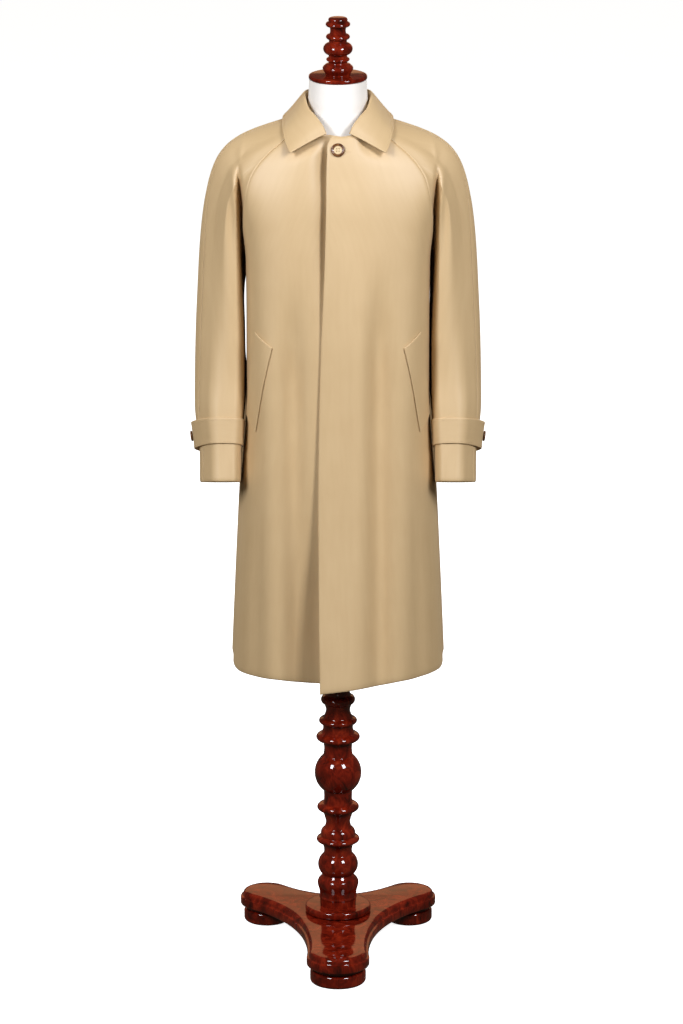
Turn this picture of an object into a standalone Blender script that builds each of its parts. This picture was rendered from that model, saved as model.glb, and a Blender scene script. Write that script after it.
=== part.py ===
"""Raglan coat on a limbless dress form with a turned wooden stand.

Metres, +Z up. The coat's front faces -Y and the wearer's left is +X. Shapes are worked out
about the post's axis, and one empty carries them all to the middle of the object's box.
"""
import math

import bmesh
import bpy
import numpy as np

# Driving sizes of the cloth
CLOTH = 0.002            # wall of the coat's cloth
SEAM = 0.0003            # gap between two pieces at a seam
AXIS_Y = 0.05494         # post axis behind the middle of the object's box

# Heights of the coat
UNDERARM_Z = 1.36
FRONT_NECK_Z = 1.583
HEM_SIDE_Z = 0.5565
HEM_LEFT_Z = 0.5366      # front corner of the left front, the one on top
HEM_RIGHT_Z = 0.5565     # front corner of the right front, underneath

# Neckline, seen from above
NECK_HALF_WIDTH = 0.078
NECK_FRONT = 0.0905
NECK_BACK = 0.073
NECK_SEAM_FRONT = 56.0   # degrees from the front to the front raglan seam
NECK_SEAM_BACK = 128.0
COLLAR_END = 20.0        # degrees from the front to the collar's ends

# Overlap of the fronts
UNDERLAP_X = 0.030       # how far the right front reaches under the left one
LAP_LIFT = 0.003
LAP_DROP = 0.0035
LAP_NEAR = 0.045         # full lift up to here from the middle
LAP_FAR = 0.110          # none from here on
LAP_COLUMNS = (0.35, 0.90)   # shares of a front's width between which the lift fades
SWING_OUT = 0.010        # left front's lower corner stands out
SWING_TOP = 0.85
SWING_FALL = 0.32        # height over which it grows
SWING_X = (-0.04, 0.05)  # where it starts to fade and where it is gone
TUCK_IN = 0.009          # right front's lower corner lies in
TUCK_TOP = 0.95
TUCK_FALL = 0.40
TUCK_X = (0.02, 0.09)
HEM_EASE = 1.2           # how soon the hem levels out towards the side

# Grid of the panels
SKIRT_ROWS = 13
YOKE_ROWS = 8
FRONT_COLUMNS = 13
BACK_COLUMNS = 18
SLEEVE_NECK_COLUMNS = 3
SHOULDER_ROWS = 8
ARM_ROWS = 10

# Pocket welts on the fronts, in degrees from the front
WELT_FRONT = 46.0
WELT_WIDTH = 17.5
WELT_LEAN = 16.0         # how far the lower end lies further round
WELT_FRONT_Z = 1.188     # top of its front corner
WELT_BACK_Z = 1.212
WELT_LENGTH = 0.165
WELT_THICK = 0.0024

# Cuff straps on the sleeves
STRAP_CENTRE = 0.772     # share of the way down the lower arm
STRAP_WIDTH = 0.047
STRAP_THICK = 0.0024
STRAP_TILT = 0.012       # front of the strap above its sides
STRAP_END = -62.0        # degrees, the tab's end behind the overarm seam
STRAP_TAB = 24.0         # degrees of the round tab
STRAP_START = 174.0      # degrees, at the underarm seam
STRAP_LOOSE = 0.0025     # how far the tab stands off the sleeve
STRAP_COLUMNS = 18
STRAP_BUTTON = 14        # column that carries the button
SEAT = SEAM * 3          # gap under what lies on a panel

BUTTON_NECK_D = 0.025
BUTTON_CUFF_D = 0.020
BUTTON_THICK = 0.0036
BUTTON_NECK_Z = 1.5600
BUTTON_SIDES = 20
# Height and radius of a button's raised rim and dished middle, as shares
BUTTON_PROFILE = [(0.0, 0.70), (0.25, 0.96), (0.62, 1.0), (0.92, 0.93), (1.0, 0.84), (0.86, 0.70),
                  (0.62, 0.55)]

# Stand
TURN_SIDES = 24
BEAD_STEPS = 4           # steps between a bead's widest ring and the next hollow
FOOT_H = 0.032
PLATE_TOP = 0.060
RING_TOP = 0.0744
RING_R = 0.0620
ARM_PINCH = 0.052        # axis to the hollow between two arms
ARM_END_TURN = 98.0      # degrees of an arm's round end each side
CAP_R = 0.0535
CAP_BOTTOM = 1.6700
CAP_TOP = 1.6776


class Table:
    """Rows of named columns, read between the rows by a smooth curve."""

    def __init__(self, names, rows):
        self.names = names.split()
        self.rows = np.array(sorted(rows), dtype=float)

    def at(self, name, key):
        keys = self.rows[:, 0]
        values = self.rows[:, self.names.index(name)]
        slopes = np.gradient(values, keys)
        key = min(max(key, keys[0]), keys[-1])
        i = min(int(np.searchsorted(keys, key, side="right")) - 1, len(keys) - 2)
        step = keys[i + 1] - keys[i]
        t = (key - keys[i]) / step
        start = values[i] * (1 + 2 * t) * (1 - t) ** 2 + slopes[i] * step * t * (1 - t) ** 2
        end = values[i + 1] * (3 - 2 * t) * t * t - slopes[i + 1] * step * (1 - t) * t * t
        return start + end


# Sections of the coat's body
BODY = Table("z width front back square", [
    (0.520, 0.1975, 0.150, 0.143, 2.5),
    (0.670, 0.1920, 0.146, 0.138, 2.7),
    (0.790, 0.1872, 0.143, 0.134, 2.9),
    (0.906, 0.1815, 0.140, 0.131, 3.2),
    (1.033, 0.1700, 0.137, 0.129, 3.6),
    (1.110, 0.1685, 0.136, 0.129, 3.7),
    (1.200, 0.1680, 0.136, 0.132, 3.7),
    (1.300, 0.1690, 0.134, 0.137, 3.6),
    (1.360, 0.1710, 0.131, 0.139, 3.5),
    (1.400, 0.1780, 0.128, 0.138, 3.3),
    (1.450, 0.1945, 0.1235, 0.134, 2.9),
    (1.480, 0.2090, 0.119, 0.129, 2.55),
    (1.510, 0.2170, 0.113, 0.121, 2.2),
    (1.540, 0.2050, 0.106, 0.110, 1.95),
    (1.575, 0.1480, 0.0935, 0.093, 1.8),
    (1.592, 0.0980, 0.0850, 0.083, 1.8),
    (1.610, 0.0420, 0.0720, 0.068, 1.8),
])

# Raglan seams: how far from the middle they lie
RAGLAN = Table("z front back", [
    (1.360, 0.1710, 0.1710),
    (1.400, 0.1735, 0.1700),
    (1.450, 0.1715, 0.1600),
    (1.480, 0.1673, 0.1500),
    (1.510, 0.1585, 0.1370),
    (1.540, 0.1380, 0.1180),
    (1.575, 0.0985, 0.0850),
    (1.600, 0.0650, 0.0600),
])

# Front edge of the left front, with its round top corner
EDGE = Table("z x", [
    (0.530, -0.0335),
    (0.770, -0.0360),
    (0.975, -0.0360),
    (1.190, -0.0310),
    (1.360, -0.0258),
    (1.550, -0.0205),
    (1.572, -0.0185),
    (1.583, -0.0120),
])

# Soft upright folds: x of the line at the hem and its drift with height, half width, how far it
# stands out, the height where it begins and the length over which it comes in
FOLDS = [
    {"face": -1, "x": 0.028, "drift": 0.014, "half": 0.026, "out": 0.007, "top": 1.42, "ramp": 0.30},
    {"face": -1, "x": 0.077, "drift": -0.004, "half": 0.020, "out": -0.016, "top": 1.36, "ramp": 0.20},
    {"face": -1, "x": 0.118, "drift": 0.002, "half": 0.020, "out": 0.005, "top": 1.33, "ramp": 0.26},
    {"face": -1, "x": 0.152, "drift": -0.020, "half": 0.014, "out": -0.002, "top": 0.98, "ramp": 0.30},
    {"face": -1, "x": -0.076, "drift": -0.010, "half": 0.020, "out": -0.015, "top": 1.34, "ramp": 0.22},
    {"face": -1, "x": -0.120, "drift": -0.006, "half": 0.020, "out": 0.005, "top": 1.30, "ramp": 0.24},
    {"face": -1, "x": -0.154, "drift": 0.015, "half": 0.015, "out": -0.002, "top": 0.95, "ramp": 0.25},
    {"face": 1, "x": 0.148, "drift": -0.018, "half": 0.017, "out": 0.005, "top": 1.22, "ramp": 0.40},
    {"face": 1, "x": 0.104, "drift": 0.012, "half": 0.019, "out": -0.008, "top": 1.34, "ramp": 0.34},
    {"face": 1, "x": 0.052, "drift": -0.010, "half": 0.022, "out": 0.007, "top": 1.40, "ramp": 0.45},
    {"face": 1, "x": 0.004, "drift": 0.014, "half": 0.016, "out": -0.006, "top": 1.12, "ramp": 0.36},
    {"face": 1, "x": -0.045, "drift": 0.004, "half": 0.020, "out": 0.006, "top": 1.28, "ramp": 0.42},
    {"face": 1, "x": -0.092, "drift": -0.012, "half": 0.018, "out": -0.009, "top": 1.37, "ramp": 0.30},
    {"face": 1, "x": -0.140, "drift": 0.016, "half": 0.018, "out": 0.006, "top": 1.18, "ramp": 0.44},
]
FOLD_SIDE = 0.35         # folds fade out this near the side seam
FOLD_TURN = (0.55, 0.90) # shares of the half width between which folds turn from forward to outward

ARM = Table("share z x y half_x half_y tilt", [
    (0.00, 1.300, 0.2187, 0.006, 0.0390, 0.074, 2),
    (0.25, 1.200, 0.2195, 0.000, 0.0428, 0.074, 4),
    (0.48, 1.110, 0.2206, -0.010, 0.0437, 0.073, 9),
    (0.68, 1.042, 0.2210, -0.026, 0.0425, 0.070, 15),
    (0.82, 0.988, 0.2185, -0.041, 0.0380, 0.066, 18),
    (1.00, 0.921, 0.2180, -0.060, 0.0370, 0.063, 17),
])

# Front half of a sleeve's section in shares of its half sizes, high on the arm and low
ARM_FRONT = Table("turn high_x high_y low_x low_y", [
    (0, 1.000, 0.000, 1.000, 0.000),
    (15, 0.893, 0.241, 0.942, 0.272),
    (30, 0.700, 0.414, 0.798, 0.497),
    (45, 0.467, 0.552, 0.591, 0.687),
    (60, 0.231, 0.690, 0.374, 0.864),
    (75, -0.004, 0.826, 0.124, 0.958),
    (90, -0.247, 0.940, -0.156, 0.976),
    (105, -0.510, 0.982, -0.438, 0.986),
    (120, -0.762, 0.964, -0.707, 0.971),
    (135, -0.918, 0.797, -0.897, 0.817),
    (150, -0.989, 0.543, -0.987, 0.563),
    (165, -1.000, 0.272, -1.000, 0.283),
    (180, -1.000, 0.000, -1.000, 0.000),
])
ARM_FADE = Table("share low", [(0.00, 0.05), (0.25, 0.35), (0.50, 0.80), (0.75, 1.00), (1.00, 1.00)])

# How the sleeves leave their seams: along the shoulder, and out of the underarm
SHOULDER_SLOPE = np.array([0.976, 0.0, -0.218])
UNDERARM_WAY = np.array([0.45, 0.0, -0.9])
UNDERARM_SHARE = 0.55
SLOPE_SHARE = 0.6        # how far the cloth follows the shoulder rather than the arm
HANDLE_TOP = (0.20, 0.28)    # pull at the seam: under the arm, and added at the shoulder
HANDLE_ARM = (0.42, 0.25)    # pull at the upper arm
NECK_PART = 0.55         # weight of a neckline column against one on the seam
CREASE_SHARE = 0.36      # fold between body and sleeve, as a share round the sleeve
CREASE_HALF = 0.17
CREASE_DEPTH = 0.6
CREASE_START = 0.25      # share by which the fold has grown, from none under the arm

# Height of the collar's fold and its outer edge, by degrees from the front
FOLD_LINE = Table("angle half_x y z", [
    (20, 0.0250, -0.0890, 1.5890),
    (27, 0.0280, -0.0830, 1.6010),
    (38, 0.0365, -0.0700, 1.6120),
    (60, 0.0525, -0.0450, 1.6270),
    (77, 0.0608, -0.0200, 1.6390),
    (90, 0.0632, 0.0000, 1.6440),
    (120, 0.0590, 0.0360, 1.6400),
    (150, 0.0370, 0.0600, 1.6350),
    (180, 0.0000, 0.0680, 1.6330),
])
COLLAR_EDGE = Table("angle half_x y z", [
    (20, 0.0869, -0.1090, 1.5563),
    (42, 0.0940, -0.0900, 1.5665),
    (66, 0.1015, -0.0530, 1.5870),
    (90, 0.1035, 0.0000, 1.5985),
    (120, 0.0960, 0.0530, 1.5930),
    (150, 0.0600, 0.0910, 1.5870),
    (180, 0.0000, 0.1040, 1.5850),
])
COLLAR_COLUMNS = 30
COLLAR_ROLL = 0.006      # how far the fall bows out past its fold
COLLAR_RISE = 0.004      # and up
COLLAR_BOW = 0.005       # and out above its edge
COLLAR_DROP = 0.62       # where the fall bends most, as a share of its width
STAND_BOW = 0.002        # hollow of the stand
STAND_GAP = SEAM * 6     # stand above the neckline
STAND_ROWS = 3
FALL_ROWS = 6

# Sections of the dress form
FORM = Table("z width front back square", [
    (0.870, 0.118, 0.085, 0.092, 2.1),
    (0.885, 0.132, 0.096, 0.104, 2.1),
    (0.930, 0.143, 0.105, 0.114, 2.1),
    (1.010, 0.141, 0.104, 0.112, 2.1),
    (1.090, 0.130, 0.098, 0.102, 2.1),
    (1.200, 0.142, 0.107, 0.110, 2.1),
    (1.330, 0.155, 0.110, 0.119, 2.2),
    (1.430, 0.166, 0.101, 0.119, 2.3),
    (1.504, 0.168, 0.084, 0.107, 2.3),
    (1.5443, 0.155, 0.072, 0.092, 2.2),
    (1.5694, 0.125, 0.064, 0.078, 2.1),
    (1.589, 0.083, 0.059, 0.064, 2.0),
    (1.605, 0.0600, 0.0570, 0.0575, 2.0),
    (1.635, 0.0548, 0.0545, 0.0545, 2.0),
    (1.6697, 0.0530, 0.0530, 0.0530, 2.0),
])
FORM_SIDES = 32
FORM_ROWS = 20

# Turned pieces: height and radius of each bead and hollow, from the top down
FINIAL = [
    (1.7835, 0.0150),
    (1.7815, 0.0172),
    (1.7775, 0.0160),
    (1.7718, 0.0222),
    (1.7590, 0.0140),
    (1.7484, 0.0216),
    (1.7398, 0.0163),
    (1.7262, 0.0267),
    (1.7123, 0.0168),
    (1.7067, 0.0212),
    (1.7005, 0.0174),
    (1.6960, 0.0240),
    (1.6779, 0.0226),
]
POST = [
    (0.8697, 0.0240),
    (0.4980, 0.0225),
    (0.4802, 0.0322),
    (0.4590, 0.0236),
    (0.4387, 0.0360),
    (0.4255, 0.0272),
    (0.4067, 0.0411),
    (0.3834, 0.0264),
    (0.3362, 0.0444),
    (0.2862, 0.0266),
    (0.2659, 0.0394),
    (0.2364, 0.0234),
    (0.2149, 0.0322),
    (0.2041, 0.0409),
    (0.1826, 0.0266),
    (0.1536, 0.0380),
    (0.1330, 0.0328),
    (0.1255, 0.0373),
    (0.0747, 0.0345),
]

# Arms of the tripod: place of the foot, radius of the arm's round end and of the foot
ARMS = [
    {"foot": "foot_front", "at": (0.0, -0.219), "end_r": 0.0585, "foot_r": 0.0520},
    {"foot": "foot_left", "at": (0.1357, 0.118), "end_r": 0.0500, "foot_r": 0.0435},
    {"foot": "foot_right", "at": (-0.1357, 0.118), "end_r": 0.0500, "foot_r": 0.0435},
]

# Colour, roughness and metallic value of each finish
FINISHES = {
    "gabardine": ((0.665, 0.491, 0.275), 0.78, 0.0),
    "horn": ((0.150, 0.062, 0.024), 0.35, 0.0),
    "jersey": ((0.880, 0.865, 0.840), 0.85, 0.0),
    "mahogany": ((0.180, 0.024, 0.010), 0.22, 0.0),
}


def smooth(value):
    value = min(max(value, 0.0), 1.0)
    return value * value * (3 - 2 * value)


def finish(name):
    if name in bpy.data.materials:
        return bpy.data.materials[name]
    colour, roughness, metallic = FINISHES[name]
    material = bpy.data.materials.new(name)
    material.use_nodes = True
    shader = material.node_tree.nodes["Principled BSDF"]
    shader.inputs["Base Color"].default_value = (*colour, 1.0)
    shader.inputs["Roughness"].default_value = roughness
    shader.inputs["Metallic"].default_value = metallic
    return material


def add_object(name, mesh, finish_name):
    mesh.shade_smooth()
    mesh.set_sharp_from_angle(angle=math.radians(40))
    mesh.materials.append(finish(finish_name))
    part = bpy.data.objects.new(name, mesh)
    bpy.context.scene.collection.objects.link(part)
    part.parent = bpy.data.objects["stand_axis"]
    return part


def mesh_from(name, points, faces):
    mesh = bpy.data.meshes.new(name)
    mesh.from_pydata([tuple(map(float, p)) for p in points], [], faces)
    mesh.validate()
    work = bmesh.new()
    work.from_mesh(mesh)
    bmesh.ops.recalc_face_normals(work, faces=work.faces)
    bmesh.ops.triangulate(work, faces=work.faces)
    work.to_mesh(mesh)
    work.free()
    return mesh


def body_depth(share, z, face):
    """Distance in front of or behind the axis, at a share of the half width."""
    depth = BODY.at("front" if face < 0 else "back", z)
    square = BODY.at("square", z)
    return depth * max(1 - abs(share) ** square, 0.0) ** (1 / square)


def fold_reach(x, z, face):
    reach = 0.0
    for fold in FOLDS:
        if fold["face"] == face:
            line = fold["x"] + fold["drift"] * (z - HEM_SIDE_Z)
            fade = smooth((fold["top"] - z) / fold["ramp"])
            reach += fold["out"] * fade * math.exp(-((x - line) / fold["half"]) ** 2)
    return reach


def body_point(angle, z, lift=0.0):
    """Outside of the body at degrees from the front, towards +X, and at a height."""
    turn = math.radians(angle)
    face = -1 if math.cos(turn) > 0 else 1
    share = math.sin(turn)
    x = BODY.at("width", z) * share
    y = face * body_depth(share, z, face)
    outward = smooth((abs(share) - FOLD_TURN[0]) / (FOLD_TURN[1] - FOLD_TURN[0]))
    out = np.array([x * outward, y * 1.3, 0.0])
    out /= max(np.linalg.norm(out), 1e-6)
    side = smooth(abs(math.cos(turn)) / FOLD_SIDE)
    return np.array([x, y, z]) + out * (fold_reach(x, z, face) * side + lift)


def body_normal(angle, z):
    step = 0.4
    rise = 0.002
    across = body_point(angle + step, z) - body_point(angle - step, z)
    along = body_point(angle, z + rise) - body_point(angle, z - rise)
    normal = np.cross(across, along)
    return normal / np.linalg.norm(normal)


def angle_at(x, z, face=-1):
    """Degrees from the front where the body is x from the middle."""
    share = min(max(x / BODY.at("width", z), -1.0), 1.0)
    turn = math.degrees(math.asin(share))
    return turn if face < 0 else 180 - turn


def neck_angle_height(angle):
    """The neckline on the body's surface, as its angle and height there."""
    turn = math.radians(angle)
    x = NECK_HALF_WIDTH * math.sin(turn)
    y = -(NECK_FRONT if math.cos(turn) > 0 else NECK_BACK) * math.cos(turn)
    face = -1 if y < 0 else 1
    low = 1.50
    high = 1.62
    for _ in range(40):
        z = (low + high) / 2
        half = BODY.at("width", z)
        outside = abs(x) >= half or body_depth(x / half, z, face) < abs(y)
        low, high = (low, z) if outside else (z, high)
    return angle_at(x, z, face), z


def raglan_line(face):
    """Angle and height along a left raglan seam, from the underarm to the neckline."""
    top_angle, top_z = neck_angle_height(NECK_SEAM_FRONT if face < 0 else NECK_SEAM_BACK)
    side = "front" if face < 0 else "back"
    top_x = BODY.at("width", top_z) * math.sin(math.radians(top_angle))
    ease = top_x - RAGLAN.at(side, top_z)
    path = []
    for z in np.linspace(UNDERARM_Z, top_z, 60):
        rise = (z - UNDERARM_Z) / (top_z - UNDERARM_Z)
        angle = angle_at(RAGLAN.at(side, z) + ease * rise ** 3, z, face)
        path.append((angle, z))
    path[0] = (90.0, UNDERARM_Z)
    path[-1] = (top_angle, top_z)
    points = np.array([body_point(angle, z) for angle, z in path])
    lengths = np.insert(np.cumsum(np.linalg.norm(np.diff(points, axis=0), axis=1)), 0, 0.0)
    wanted = np.linspace(0, lengths[-1], YOKE_ROWS + 1)
    path = np.array(path)
    return [(float(np.interp(w, lengths, path[:, 0])), float(np.interp(w, lengths, path[:, 1])))
            for w in wanted]


def fill_yoke(bottom, top, left, right):
    """Angles and heights between four boundary lines, bent evenly between them."""
    bottom, top, left, right = (np.array(line) for line in (bottom, top, left, right))
    rows = []
    for j in range(len(left)):
        t = j / (len(left) - 1)
        row = []
        for i in range(len(bottom)):
            c = i / (len(bottom) - 1)
            blend = (1 - t) * bottom[i] + t * top[i] + (1 - c) * left[j] + c * right[j]
            corner = ((1 - c) * (1 - t) * bottom[0] + c * (1 - t) * bottom[-1]
                      + (1 - c) * t * top[0] + c * t * top[-1])
            row.append(blend - corner)
        rows.append(row)
    return rows


def front_places(edge_x, hem_z):
    """Grid of angles and heights on the left side's front, hem first, edge first."""
    columns = np.linspace(0, 1, FRONT_COLUMNS + 1)
    grid = []
    for t in np.linspace(0, 1, SKIRT_ROWS + 1)[:-1]:
        row = []
        for c in columns:
            hem = hem_z + (HEM_SIDE_Z - hem_z) * smooth(c * HEM_EASE)
            z = hem + (UNDERARM_Z - hem) * t
            edge = angle_at(edge_x(z), z)
            row.append((edge + (90 - edge) * c, z))
        grid.append(row)
    edge = angle_at(edge_x(UNDERARM_Z), UNDERARM_Z)
    bottom = [(edge + (90 - edge) * c, UNDERARM_Z) for c in columns]
    start_x = edge_x(FRONT_NECK_Z)
    start = math.degrees(math.asin(start_x / NECK_HALF_WIDTH))
    top = [neck_angle_height(start + (NECK_SEAM_FRONT - start) * c) for c in columns]
    top[0] = (angle_at(start_x, top[0][1]), top[0][1])
    heights = np.linspace(UNDERARM_Z, top[0][1], YOKE_ROWS + 1)
    left = [(angle_at(edge_x(z), z), z) for z in heights]
    return grid + fill_yoke(bottom, top, left, raglan_line(-1))


def lap(x, column, amount):
    """Lift of a front where the two lie on each other, none at the outer seams."""
    near = 1 - smooth((abs(x) - LAP_NEAR) / (LAP_FAR - LAP_NEAR))
    start, end = LAP_COLUMNS
    return amount * near * (1 - smooth((column - start) / (end - start)))


def front_grid(side):
    """Outside of one front: side 1 is the left, which laps over, and -1 the right."""
    if side > 0:
        places = front_places(lambda z: EDGE.at("x", z), HEM_LEFT_Z)
    else:
        places = front_places(lambda z: -UNDERLAP_X, HEM_RIGHT_Z)
    grid = []
    for j, row in enumerate(places):
        yoke = max(j - SKIRT_ROWS, 0) / YOKE_ROWS
        line = []
        for i, (angle, z) in enumerate(row):
            column = i / FRONT_COLUMNS
            angle = angle * side
            x = body_point(angle, z)[0]
            if side > 0:
                fade = 1 - smooth((x - SWING_X[0]) / (SWING_X[1] - SWING_X[0]))
                swing = SWING_OUT * smooth((SWING_TOP - z) / SWING_FALL) * fade
                lift = lap(x, column, LAP_LIFT) * (1 - yoke ** 4) + swing
            else:
                fade = 1 - smooth((-x - TUCK_X[0]) / (TUCK_X[1] - TUCK_X[0]))
                tuck = TUCK_IN * smooth((TUCK_TOP - z) / TUCK_FALL) * fade
                lift = lap(x, column, -LAP_DROP) - tuck
            line.append(body_point(angle, z, lift))
        grid.append(line)
    return np.array(grid)


def back_grid():
    columns = np.linspace(0, 1, BACK_COLUMNS + 1)
    grid = []
    for t in np.linspace(0, 1, SKIRT_ROWS + 1)[:-1]:
        z = HEM_SIDE_Z + (UNDERARM_Z - HEM_SIDE_Z) * t
        grid.append([(90 + 180 * c, z) for c in columns])
    bottom = [(90 + 180 * c, UNDERARM_Z) for c in columns]
    sweep = [NECK_SEAM_BACK + (360 - 2 * NECK_SEAM_BACK) * c for c in columns]
    top = []
    for angle in sweep:
        if angle <= 180:
            top.append(neck_angle_height(angle))
        else:
            turn, z = neck_angle_height(360 - angle)
            top.append((360 - turn, z))
    left = raglan_line(1)
    right = [(360 - angle, z) for angle, z in left]
    grid += fill_yoke(bottom, top, left, right)
    return np.array([[body_point(angle, z) for angle, z in row] for row in grid])


def arm_point(turn, share):
    """Left sleeve below the upper arm: 0 degrees is outside, 90 the front, 180 inside."""
    degree = turn % 360
    tilt = math.radians(ARM.at("tilt", share))
    if degree <= 180:
        low = ARM_FADE.at("low", share)
        wide = ARM_FRONT.at("high_x", degree) * (1 - low) + ARM_FRONT.at("low_x", degree) * low
        deep = ARM_FRONT.at("high_y", degree) * (1 - low) + ARM_FRONT.at("low_y", degree) * low
    else:
        wide = math.cos(math.radians(degree))
        deep = math.sin(math.radians(degree))
    forward = ARM.at("half_y", share) * deep
    x = ARM.at("x", share) + ARM.at("half_x", share) * wide
    y = ARM.at("y", share) - forward * math.cos(tilt)
    return np.array([x, y, ARM.at("z", share) + forward * math.sin(tilt)])


def sleeve_top(face):
    """Angle and height where each line of a half sleeve starts, underarm first."""
    seam = NECK_SEAM_FRONT if face < 0 else NECK_SEAM_BACK
    steps = np.linspace(seam, 90, SLEEVE_NECK_COLUMNS + 1)[1:]
    return raglan_line(face) + [neck_angle_height(angle) for angle in steps]


def leaving_way(start, end, normal, round_share, seam_share, face):
    """Direction in which the sleeve's cloth leaves its seam: flat on the body, towards the arm."""
    aim = (end - start) / np.linalg.norm(end - start) * (1 - SLOPE_SHARE) + SHOULDER_SLOPE * SLOPE_SHARE
    flat = aim - normal * np.dot(aim, normal)
    flat = flat / np.linalg.norm(flat)
    ridge = smooth((round_share - seam_share) / (1 - seam_share))
    flat = flat * (1 - ridge) + SHOULDER_SLOPE * ridge
    under = 1 - smooth(round_share / UNDERARM_SHARE)
    way = flat * (1 - under) + UNDERARM_WAY * under
    crease = CREASE_DEPTH * smooth(round_share / CREASE_START)
    way[1] -= face * crease * math.exp(-((round_share - CREASE_SHARE) / CREASE_HALF) ** 2)
    return way / np.linalg.norm(way)


def sleeve_grid(face):
    """Outside of a left half sleeve, rows from the neck to the hem, underarm first."""
    seam_share = YOKE_ROWS / (YOKE_ROWS + SLEEVE_NECK_COLUMNS * NECK_PART)
    columns = []
    for i, (angle, z) in enumerate(sleeve_top(face)):
        start = body_point(angle, z)
        if i <= YOKE_ROWS:
            round_share = seam_share * i / YOKE_ROWS
        else:
            round_share = seam_share + (1 - seam_share) * (i - YOKE_ROWS) / SLEEVE_NECK_COLUMNS
        turn = 180 * (1 - round_share) * -face
        end = arm_point(turn, 0.0)
        down = arm_point(turn, 0.0) - arm_point(turn, 0.04)
        down = down / np.linalg.norm(down)
        reach = np.linalg.norm(end - start)
        leave = leaving_way(start, end, body_normal(angle, z), round_share, seam_share, face)
        first = start + leave * reach * (HANDLE_TOP[0] + HANDLE_TOP[1] * round_share)
        second = end + down * reach * (HANDLE_ARM[0] + HANDLE_ARM[1] * round_share)
        column = []
        for t in np.linspace(0, 1, SHOULDER_ROWS + 1):
            column.append(start * (1 - t) ** 3 + 3 * first * t * (1 - t) ** 2
                          + 3 * second * t * t * (1 - t) + end * t ** 3)
        for share in np.linspace(0, 1, ARM_ROWS + 1)[1:]:
            column.append(arm_point(turn, share))
        columns.append(column)
    return np.array(columns).transpose(1, 0, 2)


def grid_normals(grid):
    rows = np.gradient(grid, axis=0)
    columns = np.gradient(grid, axis=1)
    normals = np.cross(columns, rows)
    return normals / np.maximum(np.linalg.norm(normals, axis=2, keepdims=True), 1e-12)


def place_key(point):
    return tuple(np.round(point * 20000).astype(int))


def share_normals(grids, normals):
    """Give the points that two panels have in common one direction."""
    totals = {}
    for name in grids:
        for point, normal in zip(grids[name].reshape(-1, 3), normals[name].reshape(-1, 3)):
            totals[place_key(point)] = totals.get(place_key(point), 0) + normal
    for name in grids:
        flat = normals[name].reshape(-1, 3)
        for i, point in enumerate(grids[name].reshape(-1, 3)):
            total = totals[place_key(point)]
            size = np.linalg.norm(total)
            if size > 0.2:
                flat[i] = total / size


def trim(grid, edges):
    """Draw the named edges of a grid back, for the gap at a seam."""
    cut = grid.copy()
    moves = {"first_row": (0, 1, 0), "last_row": (-1, -2, 0),
             "first_column": (0, 1, 1), "last_column": (-1, -2, 1)}
    for edge in edges:
        outer, inner, axis = moves[edge]
        rim = cut[outer] if axis == 0 else cut[:, outer]
        near = cut[inner] if axis == 0 else cut[:, inner]
        way = near - rim
        rim += way / np.linalg.norm(way, axis=1, keepdims=True) * SEAM * 0.75
    return cut


def wall(name, outer, inner, finish_name):
    """Closed solid between two grids of the same size."""
    rows, columns = outer.shape[:2]
    count = rows * columns

    def spot(j, i, layer):
        return layer * count + j * columns + i

    faces = []
    for j in range(rows - 1):
        for i in range(columns - 1):
            faces.append((spot(j, i, 0), spot(j, i + 1, 0), spot(j + 1, i + 1, 0), spot(j + 1, i, 0)))
            faces.append((spot(j, i, 1), spot(j + 1, i, 1), spot(j + 1, i + 1, 1), spot(j, i + 1, 1)))
    for i in range(columns - 1):
        for j in (0, rows - 1):
            faces.append((spot(j, i, 0), spot(j, i + 1, 0), spot(j, i + 1, 1), spot(j, i, 1)))
    for j in range(rows - 1):
        for i in (0, columns - 1):
            faces.append((spot(j, i, 0), spot(j + 1, i, 0), spot(j + 1, i, 1), spot(j, i, 1)))
    points = np.concatenate([outer.reshape(-1, 3), inner.reshape(-1, 3)])
    return add_object(name, mesh_from(name, points, faces), finish_name)


def mirrored(grid):
    return grid * np.array([-1.0, 1.0, 1.0])


def coat_panels():
    """Fronts, back and half sleeves, with one direction of thickness at each seam."""
    front_sleeve = sleeve_grid(-1)
    back_sleeve = sleeve_grid(1)
    grids = {
        "front_left": front_grid(1),
        "front_right": front_grid(-1),
        "back": back_grid(),
        "sleeve_left_front": front_sleeve,
        "sleeve_left_back": back_sleeve,
        "sleeve_right_front": mirrored(front_sleeve),
        "sleeve_right_back": mirrored(back_sleeve),
    }
    seams = {
        "front_left": ("last_row", "last_column"),
        "front_right": ("last_row", "last_column"),
        "back": ("last_row", "first_column", "last_column"),
    }
    normals = {}
    for name, grid in grids.items():
        direction = grid_normals(grid)
        middle = grid[len(grid) // 2, grid.shape[1] // 2]
        centre = np.array([0.0, 0.0, middle[2]])
        if "sleeve" in name:
            centre[0] = ARM.at("x", 0) * np.sign(middle[0])
        out = middle - centre
        if np.dot(direction[len(grid) // 2, grid.shape[1] // 2], out) < 0:
            direction = -direction
        normals[name] = direction
    share_normals(grids, normals)
    for name, grid in grids.items():
        inner = grid - normals[name] * CLOTH
        edges = seams.get(name, ("first_row", "first_column", "last_column"))
        wall(name, trim(grid, edges), trim(inner, edges), "gabardine")


def collar_line(table, angle):
    side = 1 if angle <= 180 else -1
    turn = min(angle, 360 - angle)
    return np.array([side * table.at("half_x", turn), table.at("y", turn), table.at("z", turn)])


def neck_point(angle):
    side = 1 if angle <= 180 else -1
    point = body_point(*neck_angle_height(min(angle, 360 - angle)))
    return point * np.array([side, 1, 1])


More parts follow.
